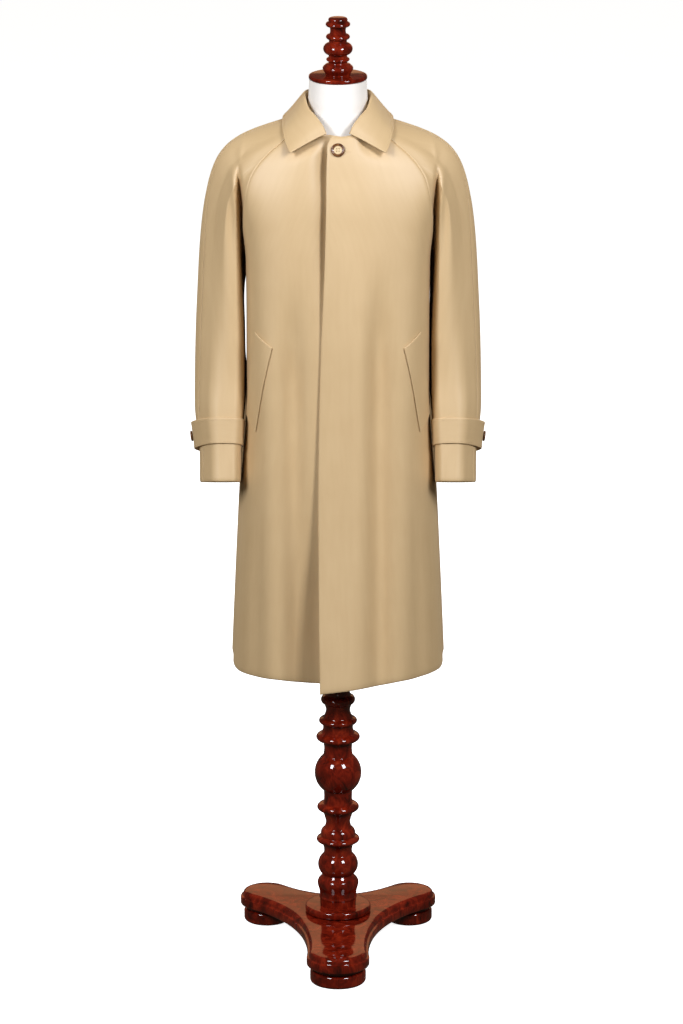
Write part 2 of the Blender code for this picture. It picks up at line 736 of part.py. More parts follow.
def collar_pieces():
    """Stand around the neck and the fall that turns down over it."""
    angles = np.linspace(COLLAR_END, 360 - COLLAR_END, COLLAR_COLUMNS + 1)
    stand_rows = []
    fall_rows = []
    rise = np.array([0, 0, STAND_GAP])
    for angle in angles:
        around = math.radians(angle)
        out = np.array([math.sin(around), -math.cos(around), 0.0])
        low = neck_point(angle) + rise
        fold = collar_line(FOLD_LINE, angle)
        stand_rows.append([low * (1 - t) + fold * t - out * STAND_BOW * math.sin(math.pi * t)
                           for t in np.linspace(0, 1, STAND_ROWS + 1)])
        edge = collar_line(COLLAR_EDGE, angle)
        start = fold + out * SEAM
        first = start + out * COLLAR_ROLL + np.array([0, 0, COLLAR_RISE])
        second = edge * COLLAR_DROP + start * (1 - COLLAR_DROP) + out * COLLAR_BOW
        second[2] += COLLAR_RISE / 2
        fall_rows.append([start * (1 - t) ** 3 + 3 * first * t * (1 - t) ** 2
                          + 3 * second * t * t * (1 - t) + edge * t ** 3
                          for t in np.linspace(0, 1, FALL_ROWS + 1)])
    for name, rows in (("collar_stand", stand_rows), ("collar_fall", fall_rows)):
        grid = np.array(rows)
        direction = grid_normals(grid)
        middle = grid.shape[0] // 2
        if direction[middle, grid.shape[1] // 2][1] < 0:
            direction = -direction
        if name == "collar_stand":
            wall(name, grid, grid - direction * CLOTH, "gabardine")
        else:
            wall(name, grid + direction * CLOTH, grid, "gabardine")


def pocket_welt(name, side):
    """A slanted strip made from the front's own points, moved out."""
    rows = []
    tops = []
    for t in np.linspace(0, 1, 8):
        row = []
        top_row = []
        for c in np.linspace(0, 1, 4):
            z = WELT_FRONT_Z + (WELT_BACK_Z - WELT_FRONT_Z) * c - WELT_LENGTH * t
            angle = (WELT_FRONT + WELT_WIDTH * c + WELT_LEAN * t) * side
            point = body_point(angle, z)
            normal = body_normal(angle, z)
            row.append(point + normal * SEAT)
            top_row.append(point + normal * (SEAT + WELT_THICK))
        rows.append(row)
        tops.append(top_row)
    wall(name, np.array(tops), np.array(rows), "gabardine")


def strap_grid(lift):
    """Left strap from the underarm seam over the front to its tab behind the overarm seam."""
    turns = np.linspace(STRAP_START, STRAP_END, STRAP_COLUMNS + 1)
    arm_length = ARM.at("z", 0) - ARM.at("z", 1)
    rows = []
    for turn in turns:
        end = max(STRAP_END + STRAP_TAB - turn, 0.0) / STRAP_TAB
        half = STRAP_WIDTH / 2 * math.sqrt(max(1 - end ** 2, 0.09))
        loose = STRAP_LOOSE * smooth((20 - turn) / 60)
        centre = STRAP_CENTRE - STRAP_TILT * math.sin(math.radians(turn)) / arm_length
        row = []
        for w in np.linspace(-half, half, 4):
            share = centre + w / arm_length
            point = arm_point(turn, share)
            across = arm_point(turn + 1, share) - arm_point(turn - 1, share)
            along = arm_point(turn, share + 0.01) - arm_point(turn, share - 0.01)
            normal = np.cross(across, along)
            row.append(point + normal / np.linalg.norm(normal) * (lift + loose))
        rows.append(row)
    return np.array(rows)


def turned(name, profile, finish_name, per_bead=BEAD_STEPS, centre=(0.0, 0.0)):
    """Solid turned about an upright axis, with beads and hollows that flow into each other."""
    heights = []
    for (z0, r0), (z1, r1) in zip(profile, profile[1:]):
        for k in range(per_bead):
            t = k / per_bead
            ease = (1 - math.cos(math.pi * t)) / 2
            heights.append((z0 + (z1 - z0) * t, r0 + (r1 - r0) * ease))
    heights.append(profile[-1])
    points = []
    faces = []
    for z, radius in heights:
        for k in range(TURN_SIDES):
            turn = 2 * math.pi * k / TURN_SIDES
            points.append((centre[0] + radius * math.cos(turn), centre[1] + radius * math.sin(turn), z))
    for j in range(len(heights) - 1):
        for k in range(TURN_SIDES):
            n = (k + 1) % TURN_SIDES
            faces.append((j * TURN_SIDES + k, j * TURN_SIDES + n,
                          (j + 1) * TURN_SIDES + n, (j + 1) * TURN_SIDES + k))
    faces.append(tuple(range(TURN_SIDES)))
    faces.append(tuple(range(len(points) - TURN_SIDES, len(points))))
    return add_object(name, mesh_from(name, points, faces), finish_name)


def button(name, centre, normal, diameter):
    """Horn disc with a raised rim and a dished middle, on its own axis."""
    radius = diameter / 2
    normal = np.array(normal) / np.linalg.norm(normal)
    side = np.cross(normal, [0.0, 0.0, 1.0])
    side /= np.linalg.norm(side)
    up = np.cross(side, normal)
    sides = BUTTON_SIDES
    points = []
    faces = []
    for height, share in BUTTON_PROFILE:
        for k in range(sides):
            turn = 2 * math.pi * k / sides
            rim = side * math.cos(turn) + up * math.sin(turn)
            points.append(centre + normal * BUTTON_THICK * height + rim * radius * share)
    for j in range(len(BUTTON_PROFILE) - 1):
        for k in range(sides):
            n = (k + 1) % sides
            faces.append((j * sides + k, j * sides + n, (j + 1) * sides + n, (j + 1) * sides + k))
    faces.append(tuple(range(sides)))
    faces.append(tuple(range(len(points) - sides, len(points))))
    add_object(name, mesh_from(name, points, faces), "horn")


def trimmings():
    for side, hand in ((1, "left"), (-1, "right")):
        pocket_welt(f"pocket_welt_{hand}", side)
        outer = strap_grid(SEAT + STRAP_THICK)
        inner = strap_grid(SEAT)
        if side < 0:
            outer = mirrored(outer)
            inner = mirrored(inner)
        wall(f"cuff_strap_{hand}", outer, inner, "gabardine")
        k = STRAP_BUTTON
        seat = outer[k].mean(axis=0)
        across = outer[k + 1].mean(axis=0) - outer[k - 1].mean(axis=0)
        normal = np.cross(across, outer[k][-1] - outer[k][0])
        if normal[0] * side < 0:
            normal = -normal
        normal /= np.linalg.norm(normal)
        button(f"button_cuff_{hand}", seat + normal * SEAM, normal, BUTTON_CUFF_D)
    yoke = (BUTTON_NECK_Z - UNDERARM_Z) / (FRONT_NECK_Z - UNDERARM_Z)
    point = body_point(0, BUTTON_NECK_Z, LAP_LIFT * (1 - yoke ** 4))
    normal = body_normal(0, BUTTON_NECK_Z)
    button("button_neck", point + normal * SEAM * 2, normal, BUTTON_NECK_D)


def dress_form():
    """Smooth torso with its neck, ending plainly at the hips."""
    levels = np.linspace(0, 1, FORM_ROWS + 1)
    low = FORM.rows[0, 0]
    high = FORM.rows[-1, 0]
    points = []
    faces = []
    for t in levels:
        z = low + (high - low) * (1 - (1 - t) ** 1.35)
        square = FORM.at("square", z)
        for k in range(FORM_SIDES):
            turn = 2 * math.pi * k / FORM_SIDES
            c = math.cos(turn)
            s = math.sin(turn)
            size = (abs(c) ** square + abs(s) ** square) ** (1 / square)
            depth = FORM.at("back" if s > 0 else "front", z)
            points.append((FORM.at("width", z) * c / size, depth * s / size, z))
    for j in range(FORM_ROWS):
        for k in range(FORM_SIDES):
            n = (k + 1) % FORM_SIDES
            faces.append((j * FORM_SIDES + k, j * FORM_SIDES + n,
                          (j + 1) * FORM_SIDES + n, (j + 1) * FORM_SIDES + k))
    faces.append(tuple(range(FORM_SIDES)))
    faces.append(tuple(range(len(points) - FORM_SIDES, len(points))))
    add_object("form_torso", mesh_from("form_torso", points, faces), "jersey")


def spoke(turn, reach):
    return np.array([math.cos(turn), math.sin(turn)]) * reach


def arm_way(arm):
    return math.atan2(arm["at"][1], arm["at"][0])


def tripod_outline():
    """Three round-ended arms with hollow sides, front arm first."""
    outline = []
    round_end = math.radians(ARM_END_TURN)
    for k, arm in enumerate(ARMS):
        way = arm_way(arm)
        for turn in np.linspace(-round_end, round_end, 15):
            outline.append(np.array(arm["at"]) + spoke(way + turn, arm["end_r"]))
        after = ARMS[(k + 1) % len(ARMS)]
        after_way = way + (arm_way(after) - way) % (2 * math.pi)
        pinch = spoke((way + after_way) / 2, ARM_PINCH)
        start = outline[-1]
        end = np.array(after["at"]) + spoke(after_way - round_end, after["end_r"])
        for t in np.linspace(0, 1, 9)[1:-1]:
            outline.append(start * (1 - t) ** 2 + 2 * pinch * t * (1 - t) + end * t * t)
    return outline


def base():
    outline = tripod_outline()
    levels = [(FOOT_H + SEAM, 0.972), (FOOT_H + 0.004, 1.0), (PLATE_TOP - 0.010, 1.0),
              (PLATE_TOP - 0.006, 0.972), (PLATE_TOP, 0.950)]
    points = []
    faces = []
    count = len(outline)
    for z, scale in levels:
        points += [(p[0] * scale, p[1] * scale, z) for p in outline]
    for j in range(len(levels) - 1):
        for k in range(count):
            n = (k + 1) % count
            faces.append((j * count + k, j * count + n, (j + 1) * count + n, (j + 1) * count + k))
    faces.append(tuple(range(count)))
    faces.append(tuple(range(len(points) - count, len(points))))
    add_object("base_tripod", mesh_from("base_tripod", points, faces), "mahogany")
    for arm in ARMS:
        radius = arm["foot_r"]
        foot = [(FOOT_H, radius * 0.88), (FOOT_H * 0.86, radius * 0.90), (FOOT_H * 0.70, radius),
                (FOOT_H * 0.30, radius), (0.0, radius * 0.90)]
        turned(arm["foot"], foot, "mahogany", 1, arm["at"])
    ring = [(RING_TOP, RING_R * 0.94), (RING_TOP - 0.003, RING_R), (PLATE_TOP + 0.004, RING_R),
            (PLATE_TOP + SEAM, RING_R * 0.96)]
    turned("base_ring", ring, "mahogany", 1)


def main():
    for old in list(bpy.data.objects):
        bpy.data.objects.remove(old, do_unlink=True)
    axis = bpy.data.objects.new("stand_axis", None)
    axis.location = (0.0, AXIS_Y, 0.0)
    bpy.context.scene.collection.objects.link(axis)
    coat_panels()
    collar_pieces()
    trimmings()
    dress_form()
    turned("post", POST, "mahogany")
    turned("finial", FINIAL, "mahogany")
    cap = [(CAP_TOP, CAP_R * 0.94), (CAP_TOP - 0.002, CAP_R), (CAP_BOTTOM + 0.002, CAP_R),
           (CAP_BOTTOM, CAP_R * 0.95)]
    turned("neck_cap", cap, "mahogany", 1)
    base()
    bpy.context.view_layer.update()


main()
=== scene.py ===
import math

import bpy
import numpy as np
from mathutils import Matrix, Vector


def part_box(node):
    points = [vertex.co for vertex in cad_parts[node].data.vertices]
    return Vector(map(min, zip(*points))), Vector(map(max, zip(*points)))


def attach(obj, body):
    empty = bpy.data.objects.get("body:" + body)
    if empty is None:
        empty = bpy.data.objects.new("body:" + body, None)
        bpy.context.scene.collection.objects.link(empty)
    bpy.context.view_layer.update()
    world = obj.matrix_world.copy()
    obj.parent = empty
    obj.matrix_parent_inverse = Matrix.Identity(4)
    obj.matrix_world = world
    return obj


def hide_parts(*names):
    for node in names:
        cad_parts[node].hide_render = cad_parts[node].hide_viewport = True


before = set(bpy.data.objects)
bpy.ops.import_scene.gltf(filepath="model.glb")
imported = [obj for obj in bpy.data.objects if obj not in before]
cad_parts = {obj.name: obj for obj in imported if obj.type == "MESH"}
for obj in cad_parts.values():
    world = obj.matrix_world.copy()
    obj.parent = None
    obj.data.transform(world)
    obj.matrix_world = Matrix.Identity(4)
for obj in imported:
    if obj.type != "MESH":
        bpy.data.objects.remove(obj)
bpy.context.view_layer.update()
postLow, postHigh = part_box("post")
axisPlace = np.array([0.0, (postLow[1] + postHigh[1]) / 2, 0.0])  # shapes are worked out about the post
print("frame loaded")


# small helpers

def toLinear(code):
    parts = [int(code[k:k + 2], 16) / 255 for k in (1, 3, 5)]
    return tuple(v / 12.92 if v <= 0.04045 else ((v + 0.055) / 1.055) ** 2.4 for v in parts) + (1.0,)


def plug(tree, node, links):  # a socket is linked, a plain value is set
    for socket, source in links.items():
        if isinstance(source, bpy.types.NodeSocket):
            tree.links.new(source, node.inputs[socket])
        else:
            node.inputs[socket].default_value = source


def addNode(tree, kind, links=None, **settings):
    node = tree.nodes.new(kind)
    for name, value in settings.items():
        setattr(node, name, value)
    plug(tree, node, links or {})
    return node


def addObject(name, data):
    holder = bpy.data.objects.new(name, data)
    bpy.context.scene.collection.objects.link(holder)
    return holder


def smooth(value):
    value = np.clip(value, 0.0, 1.0)
    return value * value * (3 - 2 * value)


def table(names, rows):
    cells = np.array(sorted(rows), dtype=float)
    columns = {name: cells[:, k] for k, name in enumerate(names.split())}
    columns["key"] = cells[:, 0]
    return columns


def read(rows, name, key):  # smooth curve through the rows of one column
    keys = rows["key"]
    values = rows[name]
    slopes = np.gradient(values, keys)
    key = np.clip(key, keys[0], keys[-1])
    i = np.clip(np.searchsorted(keys, key, side="right") - 1, 0, len(keys) - 2)
    step = keys[i + 1] - keys[i]
    t = (key - keys[i]) / step
    start = (values[i] * (1 + 2 * t) + slopes[i] * step * t) * (1 - t) ** 2
    return start + (values[i + 1] * (3 - 2 * t) - slopes[i + 1] * step * (1 - t)) * t * t


def unit(vectors):
    return vectors / np.maximum(np.linalg.norm(vectors, axis=-1, keepdims=True), 1e-9)


def bend(start, first, second, end, t):  # cubic curve, pulled towards first and second on its way
    near = start * (1 - t) ** 3 + 3 * first * t * (1 - t) ** 2
    return near + 3 * second * t * t * (1 - t) + end * t ** 3


# materials

def newMaterial(name):
    material = bpy.data.materials.new(name)
    material.use_nodes = True
    tree = material.node_tree
    return material, tree, tree.nodes["Principled BSDF"]


def waveScale(mm):  # a wave texture's scale for bands that far apart
    return math.pi / 10 / (mm / 1000)


def colourRamp(tree, source, stops):  # each stop is a place and a colour, from low to high
    ramp = addNode(tree, "ShaderNodeValToRGB", {"Fac": source})
    elements = ramp.color_ramp.elements
    for k, (place, code) in enumerate((stops[0], stops[-1])):
        elements[k].position = place
        elements[k].color = toLinear(code)
    for place, code in stops[1:-1]:
        elements.new(place).color = toLinear(code)
    return ramp.outputs["Color"]


def noise(tree, vector, mm, **values):  # noise with grains about that many mm across
    links = {"Vector": vector, "Scale": 1000 / mm}
    return addNode(tree, "ShaderNodeTexNoise", dict(links, **values)).outputs["Fac"]


def stretched(tree, vector, scale):
    return addNode(tree, "ShaderNodeMapping", {"Vector": vector, "Scale": scale}).outputs["Vector"]


def bumps(tree, height, strength, distance):
    links = {"Height": height, "Strength": strength, "Distance": distance}
    return addNode(tree, "ShaderNodeBump", links).outputs["Normal"]


gabardineLook = {
    "light": "#CBAC7D",
    "dark": "#C6A677",
    "bloom": "#FFF1DC",
    "ribTurn": 27,
    "twillMm": 1.3,      # drawn twice as coarse as the real rib, so that it shows at all
    "slubMm": 9.0,
    "cloudMm": 70.0,
    "roughness": 0.55,
    "sheen": 0.10,
}


def makeGabardine():
    # tightly woven cotton twill: a matt even face, a fine steep rib, and a pale bloom where it turns away
    look = gabardineLook
    material, tree, shader = newMaterial("cottonGabardine")
    cloth = addNode(tree, "ShaderNodeUVMap", uv_map="cloth").outputs["UV"]
    rib = addNode(tree, "ShaderNodeMapping", {
        "Vector": cloth, "Rotation": (0, 0, math.radians(look["ribTurn"]))})
    twill = addNode(tree, "ShaderNodeTexWave", {
        "Vector": rib.outputs["Vector"], "Scale": waveScale(look["twillMm"]),
        "Distortion": 0.6, "Detail": 1.0})
    slub = noise(tree, stretched(tree, cloth, (1.0, 0.12, 1.0)), look["slubMm"], Detail=3.0)
    cloud = noise(tree, cloth, look["cloudMm"], Detail=2.0)
    both = addNode(tree, "ShaderNodeMath", {0: slub, 1: cloud}, operation="ADD")
    tone = addNode(tree, "ShaderNodeMath", {0: both.outputs[0], 1: 0.5}, operation="MULTIPLY")
    plug(tree, shader, {
        "Base Color": colourRamp(tree, tone.outputs[0], [(0.32, look["dark"]), (0.68, look["light"])]),
        "Normal": bumps(tree, twill.outputs["Fac"], 0.10, 0.0004),
        "Roughness": look["roughness"],
        "Specular IOR Level": 0.9,
        "Sheen Weight": look["sheen"],
        "Sheen Roughness": 0.45,
        "Sheen Tint": toLinear(look["bloom"]),
    })
    return material


mahoganyLook = {
    "pale": "#8E2A12",
    "mid": "#641407",
    "deep": "#2C0703",
    "figureMm": 26.0,
    "poreMm": 1.6,
    "roughness": 0.34,
}


def makeMahogany():
    # stained mahogany under polished lacquer: blotchy red figure, dark pores, sharp lamp reflections
    look = mahoganyLook
    material, tree, shader = newMaterial("lacqueredMahogany")
    place = addNode(tree, "ShaderNodeTexCoord").outputs["Object"]
    along = stretched(tree, place, (1.0, 1.0, 0.55))
    figure = noise(tree, along, look["figureMm"], Detail=5.0, Roughness=0.62, Distortion=1.4)
    pores = noise(tree, stretched(tree, place, (1.0, 1.0, 0.06)), look["poreMm"], Detail=2.0)
    wood = colourRamp(tree, figure, [(0.30, look["deep"]), (0.50, look["mid"]), (0.74, look["pale"])])
    shade = addNode(tree, "ShaderNodeMapRange", {
        "Value": pores, "From Min": 0.30, "From Max": 0.46, "To Min": 0.45, "To Max": 1.0})
    colour = addNode(tree, "ShaderNodeMix", {
        "Factor": shade.outputs["Result"], 6: toLinear(look["deep"]), 7: wood}, data_type="RGBA")
    plug(tree, shader, {
        "Base Color": colour.outputs[2],
        "Normal": bumps(tree, pores, 0.06, 0.0003),
        "Roughness": look["roughness"],
        "Specular IOR Level": 0.0,
        "Coat Weight": 1.0,
        "Coat Roughness": 0.07,
        "Coat IOR": 1.52,
    })
    return material


# the dark colour is painted shade for the grooves between the wales
jerseyLook = {"light": "#F5EFE6", "dark": "#EAE3D8", "waleMm": 1.4, "roughness": 0.9}


def makeJersey():
    # white cotton jersey pulled smooth over the form: soft, with upright wales, whose grooves carry painted
    # shade in a darker copy of the white while the ridges stay paler
    look = jerseyLook
    material, tree, shader = newMaterial("cottonJersey")
    cloth = addNode(tree, "ShaderNodeUVMap", uv_map="cloth").outputs["UV"]
    wales = addNode(tree, "ShaderNodeTexWave", {
        "Vector": cloth, "Scale": waveScale(look["waleMm"]), "Distortion": 1.2, "Detail": 1.0}).outputs["Fac"]
    plug(tree, shader, {
        # painted shade: the colour follows the wales' height, darker in the low grooves
        "Base Color": colourRamp(tree, wales, [(0.0, look["dark"]), (1.0, look["light"])]),
        "Normal": bumps(tree, wales, 0.12, 0.0004),
        "Roughness": look["roughness"],
        "Sheen Weight": 0.15,
    })
    return material


# the rim colour is partly the horn's streaks and partly painted shade on the rim and in the holes
hornLook = {"rim": "#4A2410", "dish": "#D8BE93", "streak": "#8A5A2C", "streakMm": 5.0, "roughness": 0.28}


def makeHorn():
    # polished horn: the mesh's own tone picks a pale dished middle or the dark streaked colour; on the rim
    # that colour is partly horn streaks and partly painted shade, and in the holes it is painted shade
    look = hornLook
    material, tree, shader = newMaterial("polishedHorn")
    place = addNode(tree, "ShaderNodeTexCoord").outputs["Object"]
    tone = addNode(tree, "ShaderNodeAttribute", attribute_name="tone")
    streak = noise(tree, place, look["streakMm"], Detail=3.0, Distortion=1.5)
    rim = colourRamp(tree, streak, [(0.40, look["rim"]), (0.70, look["streak"])])
    colour = addNode(tree, "ShaderNodeMix", {
        "Factor": tone.outputs["Fac"], 6: rim, 7: toLinear(look["dish"])}, data_type="RGBA")
    plug(tree, shader, {
        "Base Color": colour.outputs[2], "Roughness": look["roughness"], "Coat Weight": 0.4})
    return material


threadLook = {"light": "#E2CAA0", "dark": "#BFA173", "plyMm": 0.5, "roughness": 0.6}


def makeThread():
    # spun polyester thread: the cloth's colour, a little paler, with a twist that breaks the light
    look = threadLook
    material, tree, shader = newMaterial("spunThread")
    place = addNode(tree, "ShaderNodeTexCoord").outputs["Object"]
    ply = noise(tree, place, look["plyMm"], Detail=1.0)
    plug(tree, shader, {
        "Base Color": colourRamp(tree, ply, [(0.0, look["dark"]), (1.0, look["light"])]),
        "Roughness": look["roughness"],
    })
    return material


gabardine = makeGabardine()
mahogany = makeMahogany()
jersey = makeJersey()
horn = makeHorn()
thread = makeThread()
print("materials made")


# meshes

def finishPiece(name, points, faces, material, uv=None, tone=None):
    mesh = bpy.data.meshes.new(name)
    mesh.from_pydata((np.asarray(points) + axisPlace).tolist(), [], [tuple(map(int, f)) for f in faces])
    mesh.validate()
    if uv is not None:
        layer = mesh.uv_layers.new(name="cloth")
        corners = np.empty(len(mesh.loops), dtype=np.int32)
        mesh.loops.foreach_get("vertex_index", corners)
        layer.data.foreach_set("uv", np.asarray(uv, dtype=np.float32)[corners].ravel())
    if tone is not None:
        values = mesh.attributes.new("tone", "FLOAT", "POINT").data
        values.foreach_set("value", np.asarray(tone, dtype=np.float32))
    mesh.shade_smooth()
    mesh.materials.append(material)
    piece = addObject(name, mesh)
    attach(piece, "root")
    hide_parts(name)
    return piece


def gridNormals(grid, inside):
    normals = unit(np.cross(np.gradient(grid, axis=1), np.gradient(grid, axis=0)))
    middle = (grid.shape[0] // 2, grid.shape[1] // 2)
    if np.dot(normals[middle], grid[middle] - inside) < 0:
        normals = -normals
    return normals


def runs(grid, axis):  # distance walked along the grid from its first row or column
    legs = np.linalg.norm(np.diff(grid, axis=axis), axis=2)
    start = np.zeros_like(np.take(legs, [0], axis=axis))
    return np.concatenate([start, np.cumsum(legs, axis=axis)], axis=axis)


def rimDistance(grid):
    down = runs(grid, 0)
    across = runs(grid, 1)
    return np.minimum(np.minimum(down, down[-1:] - down), np.minimum(across, across[:, -1:] - across))


seamFade = 0.0022  # how far from a seam the cloth is still sunk into it


def clothPiece(name, grid, inside, thick, proud=0.0, sink=0.0):
    # closed shell under the grid, with round edges all about that sink into their seams
    normals = gridNormals(grid, np.asarray(inside))
    half = thick / 2
    away = rimDistance(grid)
    near = np.clip(away / half, 0, 1)
    swell = half * np.sqrt(np.maximum(1 - (1 - near) ** 2, 0))[..., None]
    middle = grid + normals * (proud - half - sink * np.exp(-(away / seamFade) ** 2))[..., None]
    rows, columns = grid.shape[:2]
    outer = np.arange(rows * columns).reshape(rows, columns)
    rim = np.ones((rows, columns), dtype=bool)
    rim[1:-1, 1:-1] = False
    inner = outer.copy()
    inner[~rim] = rows * columns + np.arange((~rim).sum())
    under = (middle - normals * swell)[~rim]
    points = np.concatenate([(middle + normals * swell).reshape(-1, 3), under])
    faces = []
    for layer, turn in ((outer, 1), (inner, -1)):
        quads = np.stack([layer[:-1, :-1], layer[:-1, 1:], layer[1:, 1:], layer[1:, :-1]], axis=-1)
        faces.append(quads.reshape(-1, 4)[:, ::turn])
    faces = np.concatenate(faces)
    mid = (rows // 2 - 1) * (columns - 1) + columns // 2
    a, b, c = (points[faces[mid, k]] for k in range(3))
    if np.dot(np.cross(b - a, c - a), normals[rows // 2, columns // 2]) < 0:
        faces = faces[:, ::-1]
    across = runs(grid, 1) - runs(grid, 1)[:, columns // 2:columns // 2 + 1]
    uv = np.stack([across, runs(grid, 0)], axis=-1).reshape(-1, 2)
    uv = np.concatenate([uv, uv.reshape(rows, columns, 2)[~rim]])
    piece = finishPiece(name, points, faces, gabardine, uv)
    return normals


def steps(count, length, start=True, end=True):  # shares of a length, close together at its ends
    fine = np.array([0.0, 0.0002, 0.0005, 0.001, 0.002, 0.004]) / length
    middle = np.linspace(0, 1, count + 1)
    low = fine if start else np.array([0.0])
    high = 1 - fine[::-1] if end else np.array([1.0])
    gap = 0.6 / count
    return np.concatenate([low, middle[(middle > low[-1] + gap) & (middle < high[0] - gap)], high])


# the coat's body

coat = {
    "cloth": 0.0018,
    "sink": 0.0012,
    "underarmZ": 1.36,
    "frontNeckZ": 1.583,
    "hemSideZ": 0.5565,
    "hemEven": 0.296,
    "hemNear": 0.06,
    "neckHalfWidth": 0.078,
    "neckFront": 0.0905,
    "neckBack": 0.073,
    "neckSeamFront": 56.0,   # degrees from the front
    "neckSeamBack": 128.0,
    "underlapX": 0.030,
    "lapLift": 0.003,
    "lapDrop": 0.0035,
    "lapNear": 0.045,
    "lapFar": 0.110,
    "lapFade": (0.35, 0.55),     # start and length, in shares of a front's width
    "inside": (0, 0, 1.2),
    # lower edges of the left and the right front
    "swing": {"out": 0.010, "top": 0.85, "fall": 0.32, "x": -0.04, "fade": 0.09},
    "tuck": {"out": -0.009, "top": 0.95, "fall": 0.40, "x": 0.02, "fade": 0.07},
}

bodySections = table("z width front back square", [
    (0.520, 0.1975, 0.150, 0.143, 2.5),
    (0.670, 0.1920, 0.146, 0.138, 2.7),
    (0.790, 0.1872, 0.143, 0.134, 2.9),
    (0.906, 0.1810, 0.140, 0.131, 3.2),
    (0.970, 0.1752, 0.1385, 0.130, 3.4),
    (1.033, 0.1703, 0.137, 0.129, 3.6),
    (1.110, 0.1690, 0.136, 0.129, 3.7),
    (1.200, 0.1685, 0.136, 0.132, 3.7),
    (1.300, 0.1690, 0.134, 0.137, 3.6),
    (1.360, 0.1710, 0.131, 0.139, 3.5),
    (1.400, 0.1780, 0.128, 0.138, 3.3),
    (1.450, 0.1945, 0.1235, 0.134, 2.9),
    (1.480, 0.2090, 0.119, 0.129, 2.55),
    (1.510, 0.2170, 0.113, 0.121, 2.2),
    (1.540, 0.2050, 0.106, 0.110, 1.95),
    (1.575, 0.1480, 0.0935, 0.093, 1.8),
    (1.592, 0.0980, 0.0850, 0.083, 1.8),
    (1.610, 0.0420, 0.0720, 0.068, 1.8),
])

raglanSeam = table("z front back", [
    (1.360, 0.1710, 0.1710),
    (1.400, 0.1735, 0.1700),
    (1.450, 0.1715, 0.1600),
    (1.480, 0.1673, 0.1500),
    (1.510, 0.1585, 0.1370),
    (1.540, 0.1380, 0.1180),
    (1.575, 0.0985, 0.0850),
    (1.600, 0.0650, 0.0600),
])

frontEdge = table("z x", [
    (0.530, -0.0335),
    (0.770, -0.0360),
    (0.975, -0.0360),
    (1.190, -0.0310),
    (1.360, -0.0240),
    (1.450, -0.0218),
    (1.550, -0.0200),
    (1.572, -0.0185),
    (1.583, -0.0120),
])

# hem of each front by the distance from the middle towards its own side seam
hemLeft = table("x z", [
    (-0.0340, 0.5366), (-0.0040, 0.5405), (0.0280, 0.5446), (0.0685, 0.5510), (0.1074, 0.5562),
    (0.1372, 0.5580), (0.1671, 0.5594), (0.1820, 0.5592), (0.1965, 0.5565)])
hemRight = table("x z", [
    (-0.0300, 0.5560), (0.0342, 0.5568), (0.0555, 0.5575), (0.0768, 0.5587), (0.1018, 0.5600),
    (0.1250, 0.5600), (0.1483, 0.5594), (0.1709, 0.5586), (0.1965, 0.5565)])

# hanging folds: x of the line at the hem, its drift with height, half width, how far it stands out,
# the height where it begins and the length over which it comes in
hangingFolds = [
    {"back": False, "x": 0.028, "drift": 0.014, "half": 0.026, "out": 0.007, "top": 1.42, "ramp": 0.30},
    {"back": False, "x": 0.077, "drift": -0.004, "half": 0.020, "out": -0.016, "top": 1.36, "ramp": 0.20},
    {"back": False, "x": 0.118, "drift": 0.002, "half": 0.020, "out": 0.005, "top": 1.33, "ramp": 0.26},
    {"back": False, "x": 0.152, "drift": -0.020, "half": 0.014, "out": -0.002, "top": 0.98, "ramp": 0.30},
    {"back": False, "x": -0.076, "drift": -0.010, "half": 0.020, "out": -0.015, "top": 1.34, "ramp": 0.22},
    {"back": False, "x": -0.120, "drift": -0.006, "half": 0.020, "out": 0.005, "top": 1.30, "ramp": 0.24},
    {"back": False, "x": -0.154, "drift": 0.015, "half": 0.015, "out": -0.002, "top": 0.95, "ramp": 0.25},
    {"back": True, "x": 0.185, "drift": -0.049, "half": 0.012, "out": 0.014, "top": 1.16, "ramp": 0.12},
    {"back": True, "x": -0.185, "drift": 0.049, "half": 0.012, "out": 0.014, "top": 1.14, "ramp": 0.11},
    {"back": True, "x": 0.148, "drift": -0.018, "half": 0.017, "out": 0.005, "top": 1.22, "ramp": 0.40},
    {"back": True, "x": 0.104, "drift": 0.012, "half": 0.019, "out": -0.008, "top": 1.34, "ramp": 0.34},
    {"back": True, "x": 0.052, "drift": -0.010, "half": 0.022, "out": 0.007, "top": 1.40, "ramp": 0.45},
    {"back": True, "x": 0.004, "drift": 0.014, "half": 0.016, "out": -0.006, "top": 1.12, "ramp": 0.36},
    {"back": True, "x": -0.045, "drift": 0.004, "half": 0.020, "out": 0.006, "top": 1.28, "ramp": 0.42},
    {"back": True, "x": -0.092, "drift": -0.012, "half": 0.018, "out": -0.009, "top": 1.37, "ramp": 0.30},
    {"back": True, "x": -0.140, "drift": 0.016, "half": 0.018, "out": 0.006, "top": 1.18, "ramp": 0.44},
]

# how the lower front lies in beside the upper one's edge: depth, width, and how far its middle
# is off the edge
edgeTrough = table("z depth width off", [
    (0.540, 0.035, 0.044, -0.004),
    (0.700, 0.028, 0.038, -0.004),
    (0.820, 0.014, 0.030, -0.004),
    (0.950, 0.005, 0.016, -0.002),
    (1.080, 0.001, 0.008, 0.000),
    (1.220, 0.001, 0.008, 0.000),
    (1.310, 0.008, 0.014, 0.003),
    (1.400, 0.0160, 0.019, 0.005),
    (1.470, 0.0163, 0.020, 0.005),
    (1.540, 0.0210, 0.022, 0.005),
    (1.583, 0.010, 0.020, 0.000),
])
# hollow of the fronts under the collar's ends, above a lip that runs along their lower edges
neckHollow = {
    "startX": 0.0215,
    "startZ": 1.587,
    "slope": 0.473,
    "down": 0.0290,
    "rise": 0.040,
    "depth": 0.014,
    "inner": (0.014, 0.030),     # start and length of a fade
    "outer": (0.050, 0.050),
    "left": (0.031, 0.020),      # the upper front stays clear of the lower one
    "fade": 0.06,
}
troughFade = (0.6, 0.3)


